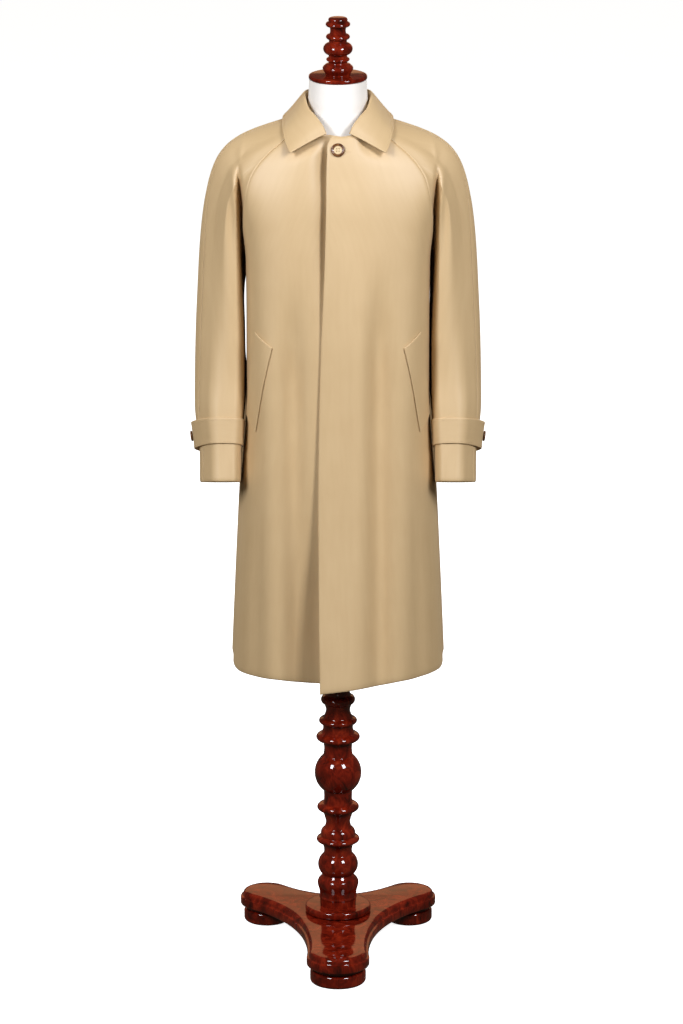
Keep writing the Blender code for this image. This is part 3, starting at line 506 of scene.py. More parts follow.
def bodyDepth(share, z, back):
    depth = np.where(back, read(bodySections, "back", z), read(bodySections, "front", z))
    square = read(bodySections, "square", z)
    return depth * np.maximum(1 - np.abs(share) ** square, 0.0) ** (1 / square)


def foldReach(x, z, back):
    reach = np.zeros(x.shape)
    for fold in hangingFolds:
        line = fold["x"] + fold["drift"] * (z - coat["hemSideZ"])
        swell = fold["out"] * smooth((fold["top"] - z) / fold["ramp"])
        swell = swell * np.exp(-((x - line) / fold["half"]) ** 2)
        reach = reach + np.where(back == fold["back"], swell, 0.0)
    return reach


def bodyPoint(angle, z, lift=0.0):  # degrees from the front towards the wearer's left
    angle, z, lift = np.broadcast_arrays(*(np.asarray(given, float) for given in (angle, z, lift)))
    turn = np.radians(angle)
    back = np.cos(turn) <= 0
    share = np.sin(turn)
    x = read(bodySections, "width", z) * share
    y = np.where(back, 1.0, -1.0) * bodyDepth(share, z, back)
    # folds end before the side seam, and stand straight forward but for those near the sides
    side = smooth(np.abs(np.cos(turn)) / 0.35)
    outward = smooth((np.abs(share) - 0.55) / 0.35)
    out = unit(np.stack([x * outward, y * 1.3, np.zeros_like(x)], axis=-1))
    return np.stack([x, y, z], axis=-1) + out * (foldReach(x, z, back) * side + lift)[..., None]


def bodyNormal(angle, z):
    across = bodyPoint(angle + 0.4, z) - bodyPoint(angle - 0.4, z)
    return unit(np.cross(across, bodyPoint(angle, z + 0.002) - bodyPoint(angle, z - 0.002)))


def angleAt(x, z, back=False):
    turn = np.degrees(np.arcsin(np.clip(x / read(bodySections, "width", z), -1, 1)))
    return 180 - turn if back else turn


def neckline(angle):  # angle and height of the neckline on the body
    turn = np.radians(np.asarray(angle, float))
    x = coat["neckHalfWidth"] * np.sin(turn)
    y = np.where(np.cos(turn) > 0, -coat["neckFront"], -coat["neckBack"]) * np.cos(turn)
    back = y >= 0
    low = np.full_like(x, 1.50)
    high = np.full_like(x, 1.62)
    for _ in range(40):
        z = (low + high) / 2
        half = read(bodySections, "width", z)
        outside = (np.abs(x) >= half) | (bodyDepth(np.clip(x / half, -1, 1), z, back) < np.abs(y))
        high = np.where(outside, z, high)
        low = np.where(outside, low, z)
    turn = np.degrees(np.arcsin(np.clip(x / read(bodySections, "width", z), -1, 1)))
    return np.stack([np.where(back, 180 - turn, turn), z], axis=-1)


def raglanLine(back, shares):  # angle and height on a left seam, from the underarm up
    topAngle, topZ = neckline(coat["neckSeamBack"] if back else coat["neckSeamFront"])
    side = "back" if back else "front"
    topX = read(bodySections, "width", topZ) * math.sin(math.radians(topAngle))
    ease = topX - read(raglanSeam, side, topZ)
    z = np.linspace(coat["underarmZ"], topZ, 400)
    rise = (z - z[0]) / (z[-1] - z[0])
    angle = angleAt(read(raglanSeam, side, z) + ease * rise ** 3, z, back)
    angle[0] = 90.0
    angle[-1] = topAngle
    walked = runs(bodyPoint(angle, z)[None], 1)[0]
    wanted = np.asarray(shares) * walked[-1]
    return np.stack([np.interp(wanted, walked, angle), np.interp(wanted, walked, z)], axis=-1)


def fillYoke(bottom, top, left, right, across, up):  # bends four lines into a grid
    c = across[None, :, None]
    t = up[:, None, None]
    blend = (1 - t) * bottom[None] + t * top[None] + (1 - c) * left[:, None] + c * right[:, None]
    corners = (1 - c) * (1 - t) * bottom[0] + c * (1 - t) * bottom[-1]
    corners = corners + (1 - c) * t * top[0] + c * t * top[-1]
    return blend - corners


def panelSteps(size):  # shares across a panel, up its skirt and up its yoke
    across = steps(size["columns"], size["width"])
    down = steps(size["skirtRows"], size["skirt"], end=False)[:-1]
    return across, down, steps(size["yokeRows"], size["yoke"], start=False)


frontSize = {"columns": 84, "skirtRows": 130, "yokeRows": 60, "width": 0.24, "skirt": 0.82, "yoke": 0.22}


def frontPlaces(edgeX, hemLine):
    across, down, up = panelSteps(frontSize)
    low = np.array(coat["hemSideZ"])
    start = angleAt(edgeX(low), low)
    turn = np.radians(start + (90 - start) * across)
    hem = read(hemLine, "z", read(bodySections, "width", low) * np.sin(turn))
    z = hem[None] + (coat["underarmZ"] - hem[None]) * down[:, None]
    edge = angleAt(edgeX(z), z)
    skirt = np.stack([edge + (90 - edge) * across[None], z], axis=-1)
    flat = np.full_like(across, coat["underarmZ"])
    edge = angleAt(edgeX(flat), flat)
    bottom = np.stack([edge + (90 - edge) * across, flat], axis=-1)
    startX = float(edgeX(np.array(coat["frontNeckZ"])))
    start = math.degrees(math.asin(startX / coat["neckHalfWidth"]))
    top = neckline(start + (coat["neckSeamFront"] - start) * across)
    top[0, 0] = angleAt(startX, top[0, 1])
    heights = coat["underarmZ"] + (top[0, 1] - coat["underarmZ"]) * up
    left = np.stack([angleAt(edgeX(heights), heights), heights], axis=-1)
    yoke = fillYoke(bottom, top, left, raglanLine(False, up), across, up)
    return np.concatenate([skirt, yoke]), across, np.concatenate([np.zeros(len(down)), up])


def lap(x, across, amount):
    near = 1 - smooth((np.abs(x) - coat["lapNear"]) / (coat["lapFar"] - coat["lapNear"]))
    start, fade = coat["lapFade"]
    return amount * near * (1 - smooth((across - start) / fade))


def hollow(x, z, yoke):
    off = np.abs(x)
    lip = neckHollow["startZ"] - neckHollow["slope"] * (off - neckHollow["startX"]) - neckHollow["down"]
    under = smooth((z - lip) / neckHollow["rise"]) * smooth((1 - yoke) / neckHollow["fade"])
    start, ease = neckHollow["inner"]
    end, fade = neckHollow["outer"]
    return neckHollow["depth"] * under * smooth((off - start) / ease) * (1 - smooth((off - end) / fade))


def lowerEdge(shape, x, z):
    low = shape["out"] * smooth((shape["top"] - z) / shape["fall"])
    return low * (1 - smooth((x - shape["x"]) / shape["fade"]))


def leftLift(x, z, across, yoke):
    start, fade = neckHollow["left"]
    lift = lap(x, across, coat["lapLift"]) * (1 - yoke ** 4) + lowerEdge(coat["swing"], x, z)
    return lift - hollow(x, z, yoke) * smooth((x - start) / fade)


def rightLift(x, z, across, yoke):
    edge = read(frontEdge, "x", z) + read(edgeTrough, "off", z)
    trough = read(edgeTrough, "depth", z) * np.exp(-((x - edge) / read(edgeTrough, "width", z)) ** 2)
    start, fade = troughFade
    trough = trough * (1 - smooth((across - start) / fade))
    lift = lap(x, across, -coat["lapDrop"]) + lowerEdge(coat["tuck"], -x, z)
    return lift - trough - hollow(x, z, yoke) * (x < 0)


def makeFront(name, left):
    if left:
        places, across, yoke = frontPlaces(lambda z: read(frontEdge, "x", z), hemLeft)
    else:
        places, across, yoke = frontPlaces(lambda z: np.full_like(z, -coat["underlapX"]), hemRight)
    angle = places[..., 0] * (1 if left else -1)
    z = places[..., 1]
    x = bodyPoint(angle, z)[..., 0]
    lift = leftLift if left else rightLift
    grid = bodyPoint(angle, z, lift(x, z, across[None], yoke[:, None]))
    # the hem runs even although the folds swing
    plain = bodyDepth(np.sin(np.radians(angle)), z, np.zeros(z.shape, bool))
    near = np.exp(-((z - z[:1]) / coat["hemNear"]) ** 2) * (yoke[:, None] == 0)
    grid[..., 2] += coat["hemEven"] * (-grid[..., 1] - plain) * near
    clothPiece(name, grid, coat["inside"], coat["cloth"], sink=coat["sink"])


backSize = {"columns": 120, "skirtRows": 120, "yokeRows": 50, "width": 0.48, "skirt": 0.82, "yoke": 0.22}


def makeBack():
    across, down, up = panelSteps(backSize)
    z = coat["hemSideZ"] + (coat["underarmZ"] - coat["hemSideZ"]) * down[:, None]
    skirt = np.stack(np.broadcast_arrays(90 + 180 * across[None], z), axis=-1)
    bottom = np.stack([90 + 180 * across, np.full_like(across, coat["underarmZ"])], axis=-1)
    sweep = coat["neckSeamBack"] + (360 - 2 * coat["neckSeamBack"]) * across
    far = sweep > 180
    top = neckline(np.where(far, 360 - sweep, sweep))
    top[far, 0] = 360 - top[far, 0]
    left = raglanLine(True, up)
    right = left * np.array([-1.0, 1.0]) + np.array([360.0, 0.0])
    places = np.concatenate([skirt, fillYoke(bottom, top, left, right, across, up)])
    grid = bodyPoint(places[..., 0], places[..., 1])
    clothPiece("back", grid, coat["inside"], coat["cloth"], sink=coat["sink"])


# sleeves

sleeve = {
    "columns": 64,
    "shoulderRows": 70,
    "armRows": 90,
    "middleX": 0.2187,
    "seamShare": 8 / (8 + 3 * 0.55),    # raglan seam in the half sleeve's top, the rest is neckline
    "shoulderSlope": np.array([0.970, 0.0, -0.243]),
    "underarmWay": np.array([0.45, 0.0, -0.9]),
    "underarmShare": 0.55,
    "overarm": 24.0,         # degrees from the outer edge to the overarm seam
    "slopeShare": 0.6,
    "creaseShare": 0.36,
    "creaseHalf": 0.17,
    "creaseDepth": 0.6,
    "creaseStart": 0.25,
    "handleTop": (0.20, 0.29),
    "handleArm": (0.42, 0.28),
    "front": {"flat": (0.25, 0.86), "area": 0.125, "held": "hung", "rests_on": ["form_torso"]},
    "back": {"flat": (0.27, 0.86), "area": 0.130, "held": "hung", "rests_on": ["form_torso"]},
}

armRings = table("share z x y halfX halfY tilt", [
    (0.00, 1.300, 0.2167, 0.006, 0.0410, 0.074, 2),
    (0.25, 1.200, 0.2170, 0.000, 0.0453, 0.074, 4),
    (0.48, 1.110, 0.2180, -0.010, 0.0463, 0.073, 9),
    (0.68, 1.042, 0.2187, -0.026, 0.0448, 0.070, 15),
    (0.82, 0.988, 0.2172, -0.041, 0.0393, 0.066, 18),
    (1.00, 0.921, 0.2172, -0.060, 0.0380, 0.063, 17),
])

# front half of a sleeve's section in shares of its half sizes, high on the arm and low:
# the outer side slopes back from a soft edge, which wanders outwards on the way down
armFront = table("turn highX highY lowX lowY", [
    (0, 1.000, 0.000, 1.000, 0.000),
    (15, 0.893, 0.241, 0.942, 0.272),
    (30, 0.700, 0.414, 0.798, 0.497),
    (45, 0.467, 0.552, 0.591, 0.687),
    (60, 0.231, 0.690, 0.374, 0.864),
    (75, -0.004, 0.826, 0.124, 0.958),
    (90, -0.247, 0.940, -0.156, 0.976),
    (105, -0.510, 0.982, -0.438, 0.986),
    (120, -0.762, 0.964, -0.707, 0.971),
    (135, -0.918, 0.797, -0.897, 0.817),
    (150, -0.989, 0.543, -0.987, 0.563),
    (165, -1.000, 0.272, -1.000, 0.283),
    (180, -1.000, 0.000, -1.000, 0.000),
])
# how far down the low shape has come in, and how the back of the sleeve leans on the body
armFade = table("share low left right", [
    (0.00, 0.05, 0.330, 0.330),
    (0.06, 0.11, 0.270, 0.200),
    (0.12, 0.18, 0.235, 0.120),
    (0.25, 0.35, 0.215, 0.100),
    (0.36, 0.56, 0.215, 0.110),
    (0.44, 0.70, 0.205, 0.190),
    (0.55, 0.85, 0.185, 0.185),
    (0.66, 0.95, 0.130, 0.130),
    (0.75, 1.00, 0.050, 0.050),
    (0.88, 1.00, 0.060, 0.060),
    (1.00, 1.00, 0.060, 0.060),
])


def armPoint(turn, share, hand="left"):  # 0 degrees is outside, 90 the front and 180 inside
    around = np.radians(np.asarray(turn, float))
    tilt = np.radians(read(armRings, "tilt", share))
    low = read(armFade, "low", share)
    degree = np.asarray(turn, float) % 360
    front = degree <= 180
    wide = read(armFront, "highX", degree) * (1 - low) + read(armFront, "lowX", degree) * low
    deep = read(armFront, "highY", degree) * (1 - low) + read(armFront, "lowY", degree) * low
    lean = read(armFade, hand, share) * np.sin(math.pi * np.clip((degree - 180) / 75, 0, 1)) ** 1.5
    forward = read(armRings, "halfY", share) * np.where(front, deep, np.sin(around))
    sideways = read(armRings, "halfX", share) * np.where(front, wide, np.cos(around) - lean)
    x = read(armRings, "x", share) + sideways
    y = read(armRings, "y", share) - forward * np.cos(tilt)
    z = read(armRings, "z", share) + forward * np.sin(tilt)
    return np.stack(np.broadcast_arrays(x, y, z), axis=-1)


def armNormal(turn, share):
    across = armPoint(turn + 1, share) - armPoint(turn - 1, share)
    return unit(np.cross(across, armPoint(turn, share + 0.01) - armPoint(turn, share - 0.01)))


def sleeveStart(back, around):  # angle and height where the half sleeve's lines begin, underarm first
    share = sleeve["seamShare"]
    seam = coat["neckSeamBack"] if back else coat["neckSeamFront"]
    low = raglanLine(back, np.clip(around / share, 0, 1))
    neck = neckline(seam + (90 - seam) * np.clip((around - share) / (1 - share), 0, 1))
    return np.where((around > share)[:, None], neck, low)


def sleeveGrid(back, hand):
    share = sleeve["seamShare"]
    low = steps(int(sleeve["columns"] * share), 0.28, end=False)
    high = steps(int(sleeve["columns"] * (1 - share)), 0.07, start=False)
    around = np.concatenate([low * share, share + high[1:] * (1 - share)])
    places = sleeveStart(back, around)
    start = bodyPoint(places[:, 0], places[:, 1])
    normal = bodyNormal(places[:, 0], places[:, 1])
    face = 1 if back else -1
    turn = 180 * (1 - around) * -face + sleeve["overarm"] * around
    end = armPoint(turn, 0.0, hand)
    aim = unit(end - start) * (1 - sleeve["slopeShare"]) + sleeve["shoulderSlope"] * sleeve["slopeShare"]
    flat = unit(aim - normal * np.sum(aim * normal, axis=1, keepdims=True))
    ridge = smooth((around - share) / (1 - share))[:, None]
    flat = flat * (1 - ridge) + sleeve["shoulderSlope"] * ridge
    under = 1 - smooth(around / sleeve["underarmShare"])[:, None]
    leave = flat * (1 - under) + sleeve["underarmWay"] * under
    crease = sleeve["creaseDepth"] * smooth(around / sleeve["creaseStart"])
    leave[:, 1] -= face * crease * np.exp(-((around - sleeve["creaseShare"]) / sleeve["creaseHalf"]) ** 2)
    leave = unit(leave)
    down = unit(armPoint(turn, 0.0, hand) - armPoint(turn, 0.04, hand))
    reach = np.linalg.norm(end - start, axis=1, keepdims=True)
    first = start + leave * reach * (sleeve["handleTop"][0] + sleeve["handleTop"][1] * around[:, None])
    second = end + down * reach * (sleeve["handleArm"][0] + sleeve["handleArm"][1] * around[:, None])
    t = steps(sleeve["shoulderRows"], 0.25, end=False)[:, None, None]
    shoulder = bend(start, first, second, end, t)
    arm = armPoint(turn[None], steps(sleeve["armRows"], 0.38, start=False)[1:, None], hand)
    grid = np.concatenate([shoulder, arm])
    x, z = grid[..., 0], grid[..., 2]
    off = x - read(armholeCrease, "x", z)
    press = read(armholeCrease, "depth", z) * np.exp(-(off / read(armholeCrease, "half", z)) ** 2)
    ridge = read(armholeCrease, "ridge", z) * np.exp(-((off - 0.011) / 0.006) ** 2)
    free = np.concatenate([smooth(t[:, 0] / 0.05), np.ones((len(arm), 1))])  # none at the seam itself
    grid[..., 1] -= face * (press * (0.35 if back else 1.0) - ridge) * free
    return grid


# crease where the sleeve hangs away from the body, from below the shoulder down into the armhole
armholeCrease = table("z x half depth ridge", [
    (1.260, 0.1700, 0.004, 0.000, 0.000),
    (1.320, 0.1712, 0.005, 0.020, 0.003),
    (1.360, 0.1726, 0.005, 0.038, 0.004),
    (1.400, 0.1745, 0.005, 0.042, 0.004),
    (1.448, 0.1772, 0.005, 0.036, 0.004),
    (1.475, 0.1795, 0.0045, 0.024, 0.004),
    (1.500, 0.1810, 0.004, 0.011, 0.004),
    (1.525, 0.1800, 0.003, 0.000, 0.000),
    (1.580, 0.1700, 0.003, 0.000, 0.000),
])


def mirrored(grid):
    return grid * np.array([-1.0, 1.0, 1.0])


def makeSleeves():
    grids = {}
    for back, half in ((False, "front"), (True, "back")):
        for side, hand in ((1, "left"), (-1, "right")):
            name = f"sleeve_{hand}_{half}"
            grid = sleeveGrid(back, hand)
            shape = grid if side > 0 else mirrored(grid)
            middle = shape[shape.shape[0] // 2, shape.shape[1] // 2]
            inside = (sleeve["middleX"] * side, 0.0, middle[2])
            clothPiece(name, shape, inside, coat["cloth"], sink=coat["sink"])
            grids[name] = shape
    return grids


makeFront("front_left", True)
makeFront("front_right", False)
makeBack()
sleeveGrids = makeSleeves()
print("coat body and sleeves made")


# collar

collar = {
    "end": 20.0,
    "columns": 190,
    "fallRows": 26,
    "standRows": 10,
    "roll": 0.0015,
    "rise": 0.002,
    "bow": -0.004,
    "drop": 0.62,
    "standBow": 0.002,
    "standGap": 0.0018,
    "seam": 0.0003,
    "thick": 0.0026,
    "proud": 0.002,
    "stitchIn": 0.006,
    "fall": {"flat": (0.62, 0.10), "area": 0.034, "held": "folded", "rests_on": ["collar_stand"]},
    "stand": {"flat": (0.46, 0.055), "area": 0.016, "held": "folded", "rests_on": ["form_torso"]},
}

foldLine = table("angle halfX y z", [
    (20, 0.0215, -0.0895, 1.5870),
    (27, 0.0265, -0.0830, 1.5990),
    (38, 0.0365, -0.0700, 1.6110),
    (60, 0.0530, -0.0450, 1.6250),
    (77, 0.0590, -0.0200, 1.6360),
    (90, 0.0600, 0.0000, 1.6400),
    (120, 0.0545, 0.0360, 1.6400),
    (150, 0.0370, 0.0600, 1.6350),
    (180, 0.0000, 0.0680, 1.6330),
])

collarEdge = table("angle halfX y z", [
    (20, 0.0869, -0.1070, 1.5557),
    (42, 0.0935, -0.0890, 1.5657),
    (66, 0.1000, -0.0530, 1.5845),
    (90, 0.1010, 0.0000, 1.5935),
    (120, 0.0940, 0.0530, 1.5905),
    (150, 0.0600, 0.0910, 1.5870),
    (180, 0.0000, 0.1040, 1.5850),
])


def collarLine(rows, angle):
    side = np.where(angle <= 180, 1.0, -1.0)
    turn = np.minimum(angle, 360 - angle)
    x, y, z = (read(rows, name, turn) for name in ("halfX", "y", "z"))
    return np.stack([side * x, y, z], axis=-1)


def makeCollar():
    angle = collar["end"] + (360 - 2 * collar["end"]) * steps(collar["columns"], 0.55)
    around = np.radians(angle)
    out = np.stack([np.sin(around), -np.cos(around), np.zeros_like(around)], axis=-1)[:, None]
    upward = np.array([0.0, 0.0, 1.0])
    places = neckline(np.minimum(angle, 360 - angle))
    low = bodyPoint(places[:, 0], places[:, 1])
    low[:, 0] *= np.where(angle <= 180, 1, -1)
    low = (low + upward * collar["standGap"])[:, None]
    fold = collarLine(foldLine, angle)[:, None]
    t = steps(collar["standRows"], 0.05)[None, :, None]
    stand = low * (1 - t) + fold * t - out * collar["standBow"] * np.sin(math.pi * t)
    edge = collarLine(collarEdge, angle)[:, None]
    start = fold + out * collar["seam"]
    first = start + out * collar["roll"] + upward * collar["rise"]
    second = edge * collar["drop"] + start * (1 - collar["drop"])
    second = second + out * collar["bow"] + upward * collar["rise"] / 2
    t = steps(collar["fallRows"], 0.06)[None, :, None]
    fall = bend(start, first, second, edge, t)
    clothPiece("collar_stand", stand, (0, 0, 1.6), coat["cloth"])
    normals = clothPiece(
        "collar_fall", fall, (0, 0, 1.57), collar["thick"], proud=collar["proud"])
    return fall + normals * collar["proud"], normals


collarGrid, collarNormals = makeCollar()
print("collar made")


# pocket welts and cuff straps

welt = {
    "front": 45.0,      # degrees from the front
    "width": 17.5,
    "lean": 16.0,
    "frontZ": 1.196,
    "backZ": 1.220,
    "length": 0.165,
    "thick": 0.0018,
    "proud": 0.0033,
    "rows": 60,
    "columns": 22,
    "stitchIn": 0.003,
    "sheet": {"flat": (0.055, 0.17), "area": 0.0083, "held": "laid", "rests_on": ["front_left"]},
}


def makeWelt(name, side):
    down = steps(welt["rows"], welt["length"])[:, None]
    across = steps(welt["columns"], 0.05)[None]
    z = welt["frontZ"] + (welt["backZ"] - welt["frontZ"]) * across - welt["length"] * down
    angle = (welt["front"] + welt["width"] * across + welt["lean"] * down) * side
    grid = bodyPoint(angle, z)
    normals = clothPiece(name, grid, coat["inside"], welt["thick"], proud=welt["proud"])
    return grid + normals * welt["proud"], normals


strap = {
    "centre": 0.774,    # share of the way down the lower arm
    "length": 0.24,
    "width": 0.047,
    "tilt": 0.006,
    "end": -62.0,
    "tab": 24.0,
    "start": 174.0,
    "loose": 0.0070,
    "buttonTurn": -9.6,
    "thick": 0.0022,
    "proud": 0.0033,
    "rows": 120,
    "columns": 22,
    "stitchIn": 0.004,
    "sheet": {"flat": (0.047, 0.27), "area": 0.0115, "held": "laid", "rests_on": ["sleeve_left_front"]},
}


def strapTurns():
    return strap["start"] + (strap["end"] - strap["start"]) * steps(strap["rows"], strap["length"])


def strapGrid():
    turn = strapTurns()
    length = armRings["z"][0] - armRings["z"][-1]
    tip = np.maximum(strap["end"] + strap["tab"] - turn, 0.0) / strap["tab"]
    half = strap["width"] / 2 * np.sqrt(np.maximum(1 - tip ** 2, 0.03))
    loose = strap["loose"] * smooth((30 - turn) / 40)
    centre = strap["centre"] - strap["tilt"] * np.sin(np.radians(turn)) / length
    across = (steps(strap["columns"], strap["width"]) * 2 - 1)[None]
    share = centre[:, None] + half[:, None] * across / length
    turn = np.broadcast_to(turn[:, None], share.shape)
    return armPoint(turn, share) + armNormal(turn, share) * (strap["proud"] + loose)[:, None, None]


def makeStrap(name, side):
    grid = strapGrid()
    if side < 0:
        grid = mirrored(grid)
    middle = grid[grid.shape[0] // 2, grid.shape[1] // 2]
    inside = (sleeve["middleX"] * side, -0.04, middle[2])
    return grid, clothPiece(name, grid, inside, strap["thick"])


weltGrids = [makeWelt("pocket_welt_left", 1), makeWelt("pocket_welt_right", -1)]
strapGrids = [makeStrap("cuff_strap_left", 1), makeStrap("cuff_strap_right", -1)]
print("welts and straps made")


# buttons: a polar height field with four holes and two bars of thread

buttonShape = {
    "neck": 0.0125,
    "cuff": 0.0100,
    "thick": 0.0036,
    "rings": 44,
    "spokes": 96,
    "holeAt": 0.182,     # shares of the radius
    "holeR": 0.095,
    "holeDeep": 0.0014,
    "barLift": 0.0007,
    "neckZ": 1.56,
    "neckGap": 0.0006,
    "cuffGap": 0.0003,
}
buttonProfile = table("share height", [
    (0.00, 0.60), (0.50, 0.60), (0.62, 0.66), (0.74, 0.92), (0.84, 1.00), (0.93, 0.92), (1.00, 0.62)])


def makeButton(name, centre, normal, radius):
    shape = buttonShape
    normal = unit(np.asarray(normal))
    side = unit(np.cross(normal, [0.0, 0.0, 1.0]))
    up = np.cross(side, normal)
    share = np.linspace(0.0, 1.0, shape["rings"] + 1)[1:]
    spoke = np.linspace(0, 2 * math.pi, shape["spokes"], endpoint=False)
    u = share[:, None] * np.cos(spoke)[None]
    v = share[:, None] * np.sin(spoke)[None]
    height = read(buttonProfile, "height", share)[:, None] * shape["thick"] + 0 * u
    # tone is 1 on the pale middle and falls to 0 on the rim, which takes the dark colour as partly painted
    # shade
    tone = (1 - smooth((share - 0.52) / 0.16))[:, None] + 0 * u
    for a in (-1, 1):
        for b in (-1, 1):
            away = np.hypot(u - a * shape["holeAt"], v - b * shape["holeAt"])
            hole = 1 - smooth((away - shape["holeR"] * 0.6) / (shape["holeR"] * 0.7))
            height = height - shape["holeDeep"] * hole
            # the holes are shallow dents painted dark: painted shade
            tone = tone * (1 - hole)
        bar = 1 - smooth((np.abs(u - a * shape["holeAt"]) - 0.04) / 0.05)
        bar = bar * (1 - smooth((np.abs(v) - shape["holeAt"]) / 0.05))
        height = height + shape["barLift"] * bar
        tone = np.maximum(tone, 0.9 * bar)
    low = [(1.0, 0.62), (0.98, 0.30), (0.90, 0.10), (0.70, 0.0)]
    points = [centre + normal * (0.6 * shape["thick"])]
    hornAndShadeTones = [1.0]
    for k in range(len(share)):
        ring = centre + (side[None] * u[k][:, None] + up[None] * v[k][:, None]) * radius
        points.extend(ring + normal[None] * height[k][:, None])
        hornAndShadeTones.extend(tone[k])
    for r, h in low[1:]:
        ring = side[None] * np.cos(spoke)[:, None] + up[None] * np.sin(spoke)[:, None]
        points.extend(centre + ring * radius * r + normal * shape["thick"] * h)
        # the rim's outer side and back take the dark colour too, partly painted shade
        hornAndShadeTones.extend(np.zeros(len(spoke)))
    points.append(centre)
    hornAndShadeTones.append(0.0)
    n = shape["spokes"]
    bands = len(share) + len(low) - 1
    faces = [(0, 1 + k, 1 + (k + 1) % n) for k in range(n)]
    for j in range(bands - 1):
        for k in range(n):
            a = 1 + j * n + k
            b = 1 + j * n + (k + 1) % n
            faces.append((a, a + n, b + n, b))
    last = 1 + (bands - 1) * n
    faces += [(last + (k + 1) % n, last + k, len(points) - 1) for k in range(n)]
    finishPiece(name, points, faces, horn, tone=hornAndShadeTones)


def neckButtonPlace():
    z = np.array(buttonShape["neckZ"])
    yoke = (buttonShape["neckZ"] - coat["underarmZ"]) / (coat["frontNeckZ"] - coat["underarmZ"])
    point = bodyPoint(0.0, z, coat["lapLift"] * (1 - yoke ** 4))
    return point, bodyNormal(0.0, z)


neckPoint, neckNormal = neckButtonPlace()
neckPoint = neckPoint + neckNormal * buttonShape["neckGap"]
makeButton("button_neck", neckPoint, neckNormal, buttonShape["neck"])
for (grid, normals), hand in zip(strapGrids, ("left", "right")):
    k = int(np.argmin(np.abs(strapTurns() - strap["buttonTurn"])))
    j = grid.shape[1] // 2
    seat = grid[k, j] + normals[k, j] * buttonShape["cuffGap"]
    makeButton(f"button_cuff_{hand}", seat, normals[k, j], buttonShape["cuff"])
print("buttons made")


# form and turned stand

formSections = table("z width front back square", [
    (0.870, 0.118, 0.085, 0.092, 2.1),
    (0.885, 0.132, 0.096, 0.104, 2.1),
    (0.930, 0.143, 0.105, 0.114, 2.1),
    (1.010, 0.141, 0.104, 0.112, 2.1),
    (1.090, 0.130, 0.098, 0.102, 2.1),
    (1.200, 0.142, 0.107, 0.110, 2.1),
    (1.330, 0.155, 0.110, 0.119, 2.2),
    (1.430, 0.166, 0.101, 0.119, 2.3),
    (1.504, 0.168, 0.084, 0.107, 2.3),
    (1.5443, 0.155, 0.072, 0.092, 2.2),
    (1.5694, 0.125, 0.064, 0.078, 2.1),
    (1.589, 0.083, 0.059, 0.064, 2.0),
    (1.605, 0.0600, 0.0570, 0.0575, 2.0),
    (1.635, 0.0548, 0.0545, 0.0545, 2.0),
    (1.6697, 0.0530, 0.0530, 0.0530, 2.0),
])
formSize = {"sides": 128, "rows": 180, "inset": 0.0004, "uvReach": 0.1, "sharp": 50}


def ringFaces(rows, sides):
    j, k = np.meshgrid(np.arange(rows - 1), np.arange(sides), indexing="ij")
    n = (k + 1) % sides
    quads = np.stack([j * sides + k, j * sides + n, (j + 1) * sides + n, (j + 1) * sides + k], axis=-1)
    return quads.reshape(-1, 4)


def ringPiece(name, shape, material, sharp, uv=None):  # rings of points, closed at both ends
    rows, sides = shape.shape[:2]
    points = shape.reshape(-1, 3)
    faces = [tuple(f) for f in ringFaces(rows, sides)]
    faces.append(tuple(range(sides))[::-1])
    faces.append(tuple(range(len(points) - sides, len(points))))
    piece = finishPiece(name, points, faces, material, uv)
    piece.data.set_sharp_from_angle(angle=math.radians(sharp))


def makeTorso():
    z = np.linspace(formSections["z"][0], formSections["z"][-1], formSize["rows"])[:, None]
    turn = np.linspace(0, 2 * math.pi, formSize["sides"], endpoint=False)[None]
    square = read(formSections, "square", z)
    c = np.cos(turn)
    s = np.sin(turn)
    size = (np.abs(c) ** square + np.abs(s) ** square) ** (1 / square)
    depth = np.where(s > 0, read(formSections, "back", z), read(formSections, "front", z))
    shape = np.stack(np.broadcast_arrays(
        (read(formSections, "width", z) - formSize["inset"]) * c / size,
        (depth - formSize["inset"]) * s / size, z), axis=-1)
    uv = np.stack(np.broadcast_arrays(turn * formSize["uvReach"], z), axis=-1).reshape(-1, 2)
    ringPiece("form_torso", shape, jersey, formSize["sharp"], uv)


# turned profiles: a core, and beads that stand on it with crisp corners
# each bead is its height, radius at the middle, half height, and how far its round stands out
finial = {
    "core": table("z r", [
        (1.6779, 0.0228), (1.6960, 0.0236), (1.6990, 0.0176), (1.7040, 0.0178), (1.7110, 0.0170),
        (1.7170, 0.0168), (1.7370, 0.0162), (1.7430, 0.0164), (1.7540, 0.0150), (1.7600, 0.0142),
        (1.7660, 0.0150), (1.7745, 0.0172), (1.7800, 0.0168), (1.7835, 0.0150)]),
    "beads": [
        {"z": 1.7716, "r": 0.0225, "half": 0.0048, "round": 0.0066},
        {"z": 1.7484, "r": 0.0219, "half": 0.0050, "round": 0.0066},
        {"z": 1.7262, "r": 0.0269, "half": 0.0112, "round": 0.0120},
        {"z": 1.7063, "r": 0.0214, "half": 0.0034, "round": 0.0046},
        {"z": 1.7800, "r": 0.0176, "half": 0.0035, "round": 0.0030},
        {"z": 1.6935, "r": 0.0246, "half": 0.0045, "round": 0.0040},
    ],
}
